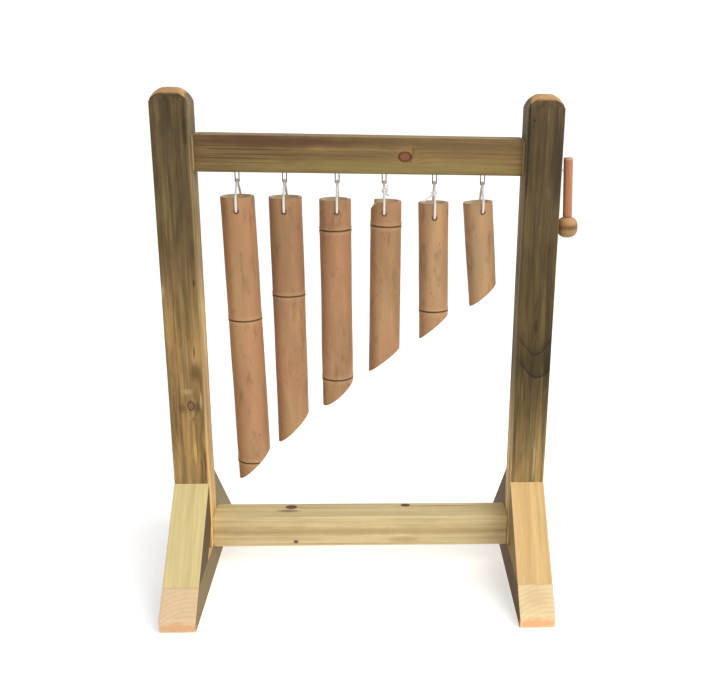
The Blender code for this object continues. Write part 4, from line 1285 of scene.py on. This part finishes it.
# ---------------------------------------------------------------- studio and camera
def build_camera():
    ahead = Vector((-math.sin(CAMERA_YAW) * math.cos(CAMERA_PITCH),
                    math.cos(CAMERA_YAW) * math.cos(CAMERA_PITCH),
                    math.sin(CAMERA_PITCH)))
    right = Vector((math.cos(CAMERA_YAW), math.sin(CAMERA_YAW), 0))
    up = right.cross(ahead)
    turned_right = right * math.cos(CAMERA_ROLL) + up * math.sin(CAMERA_ROLL)
    turned_up = up * math.cos(CAMERA_ROLL) - right * math.sin(CAMERA_ROLL)
    data = bpy.data.cameras.new("camera")
    data.lens = LENS_MM
    data.sensor_width = 36.0
    data.shift_x, data.shift_y = SHIFT
    data.clip_start = 0.05
    camera = bpy.data.objects.new("camera", data)
    camera.matrix_world = Matrix.Translation(CAMERA_PLACE) @ Matrix((turned_right, turned_up,
                                                                     -ahead)).transposed().to_4x4()
    bpy.context.collection.objects.link(camera)
    bpy.context.scene.camera = camera


def build_studio():
    """A pale floor that curves up into a backdrop, lit from the front and from the right."""
    outline = [(FLOOR_FRONT, 0.0), (FLOOR_BACK, 0.0)]
    for k in range(1, 13):
        angle = math.radians(90 * k / 12)
        outline.append((FLOOR_BACK + BACKDROP_BEND * math.sin(angle), BACKDROP_BEND * (1 - math.cos(angle))))
    outline.append((FLOOR_BACK + BACKDROP_BEND, BACKDROP_TOP))
    bm = bmesh.new()
    left = [bm.verts.new((-FLOOR_SIDE, y, z)) for y, z in outline]
    right = [bm.verts.new((FLOOR_SIDE, y, z)) for y, z in outline]
    for k in range(len(outline) - 1):
        bm.faces.new((left[k], right[k], right[k + 1], left[k + 1]))
    shader = Shader("studio_paper", 0.9, 0.0, 0.1)
    shader.out.inputs["Base Color"].default_value = (0.90, 0.90, 0.90, 1.0)
    shader.out.inputs["Emission Color"].default_value = (1.0, 1.0, 1.0, 1.0)
    shader.out.inputs["Emission Strength"].default_value = 0.46
    floor = finished("floor", bm, [shader.material])
    floor.location.z = -0.0005

    world = bpy.data.worlds.new("studio")
    world.use_nodes = True
    world.node_tree.nodes["Background"].inputs["Color"].default_value = (1.0, 1.0, 1.0, 1.0)
    world.node_tree.nodes["Background"].inputs["Strength"].default_value = 0.34
    bpy.context.scene.world = world
    for name, place, size, power in (("key", (1.5, -2.0, 2.6), 2.0, 63), ("side", (3.0, 0.2, 1.8), 1.6, 24)):
        data = bpy.data.lights.new(name, "AREA")
        data.size = size
        data.energy = power
        lamp = bpy.data.objects.new(name, data)
        lamp.location = place
        lamp.rotation_euler = (Vector((0, 0, 0.45)) - Vector(place)).to_track_quat("-Z", "Y").to_euler()
        bpy.context.collection.objects.link(lamp)
    bpy.context.scene.view_settings.view_transform = "Standard"


def main():
    build_camera()
    build_studio()
    for word in ("left", "right"):
        build_post(word)
        build_bearer(word)
        for end in ("front", "rear"):
            build_brace(word, end)
    build_rail("top", 5)
    build_rail("bottom", 17)
    metal = zinc()
    build_screws(metal)
    sawn = bamboo_cut()
    rope = white_cord()
    wire = dark_wire()
    for number, tube in enumerate(TUBES, start=1):
        build_tube(number, tube, sawn)
        build_cord(number, tube, rope)
        build_staple(number, wire)
    build_knot(4, (0.0015, -0.0145, -0.0135), 0.0019,
               (((0.001, -0.001, 0.003), (0.005, -0.002, 0.007), (0.005, -0.001, 0.013)),
                                                       ((0.001, -0.001, -0.003), (0.005, -0.004, -0.007),
                                                        (0.008, -0.006, -0.006))), rope)
    build_knot(5, (-0.0010, -0.0165, -0.0160), 0.0015, (((-0.002, -0.001, -0.001), (-0.010, -0.006, -0.007),
                                                        (-0.021, -0.010, -0.0135)),), rope)
    build_beater(metal)


main()
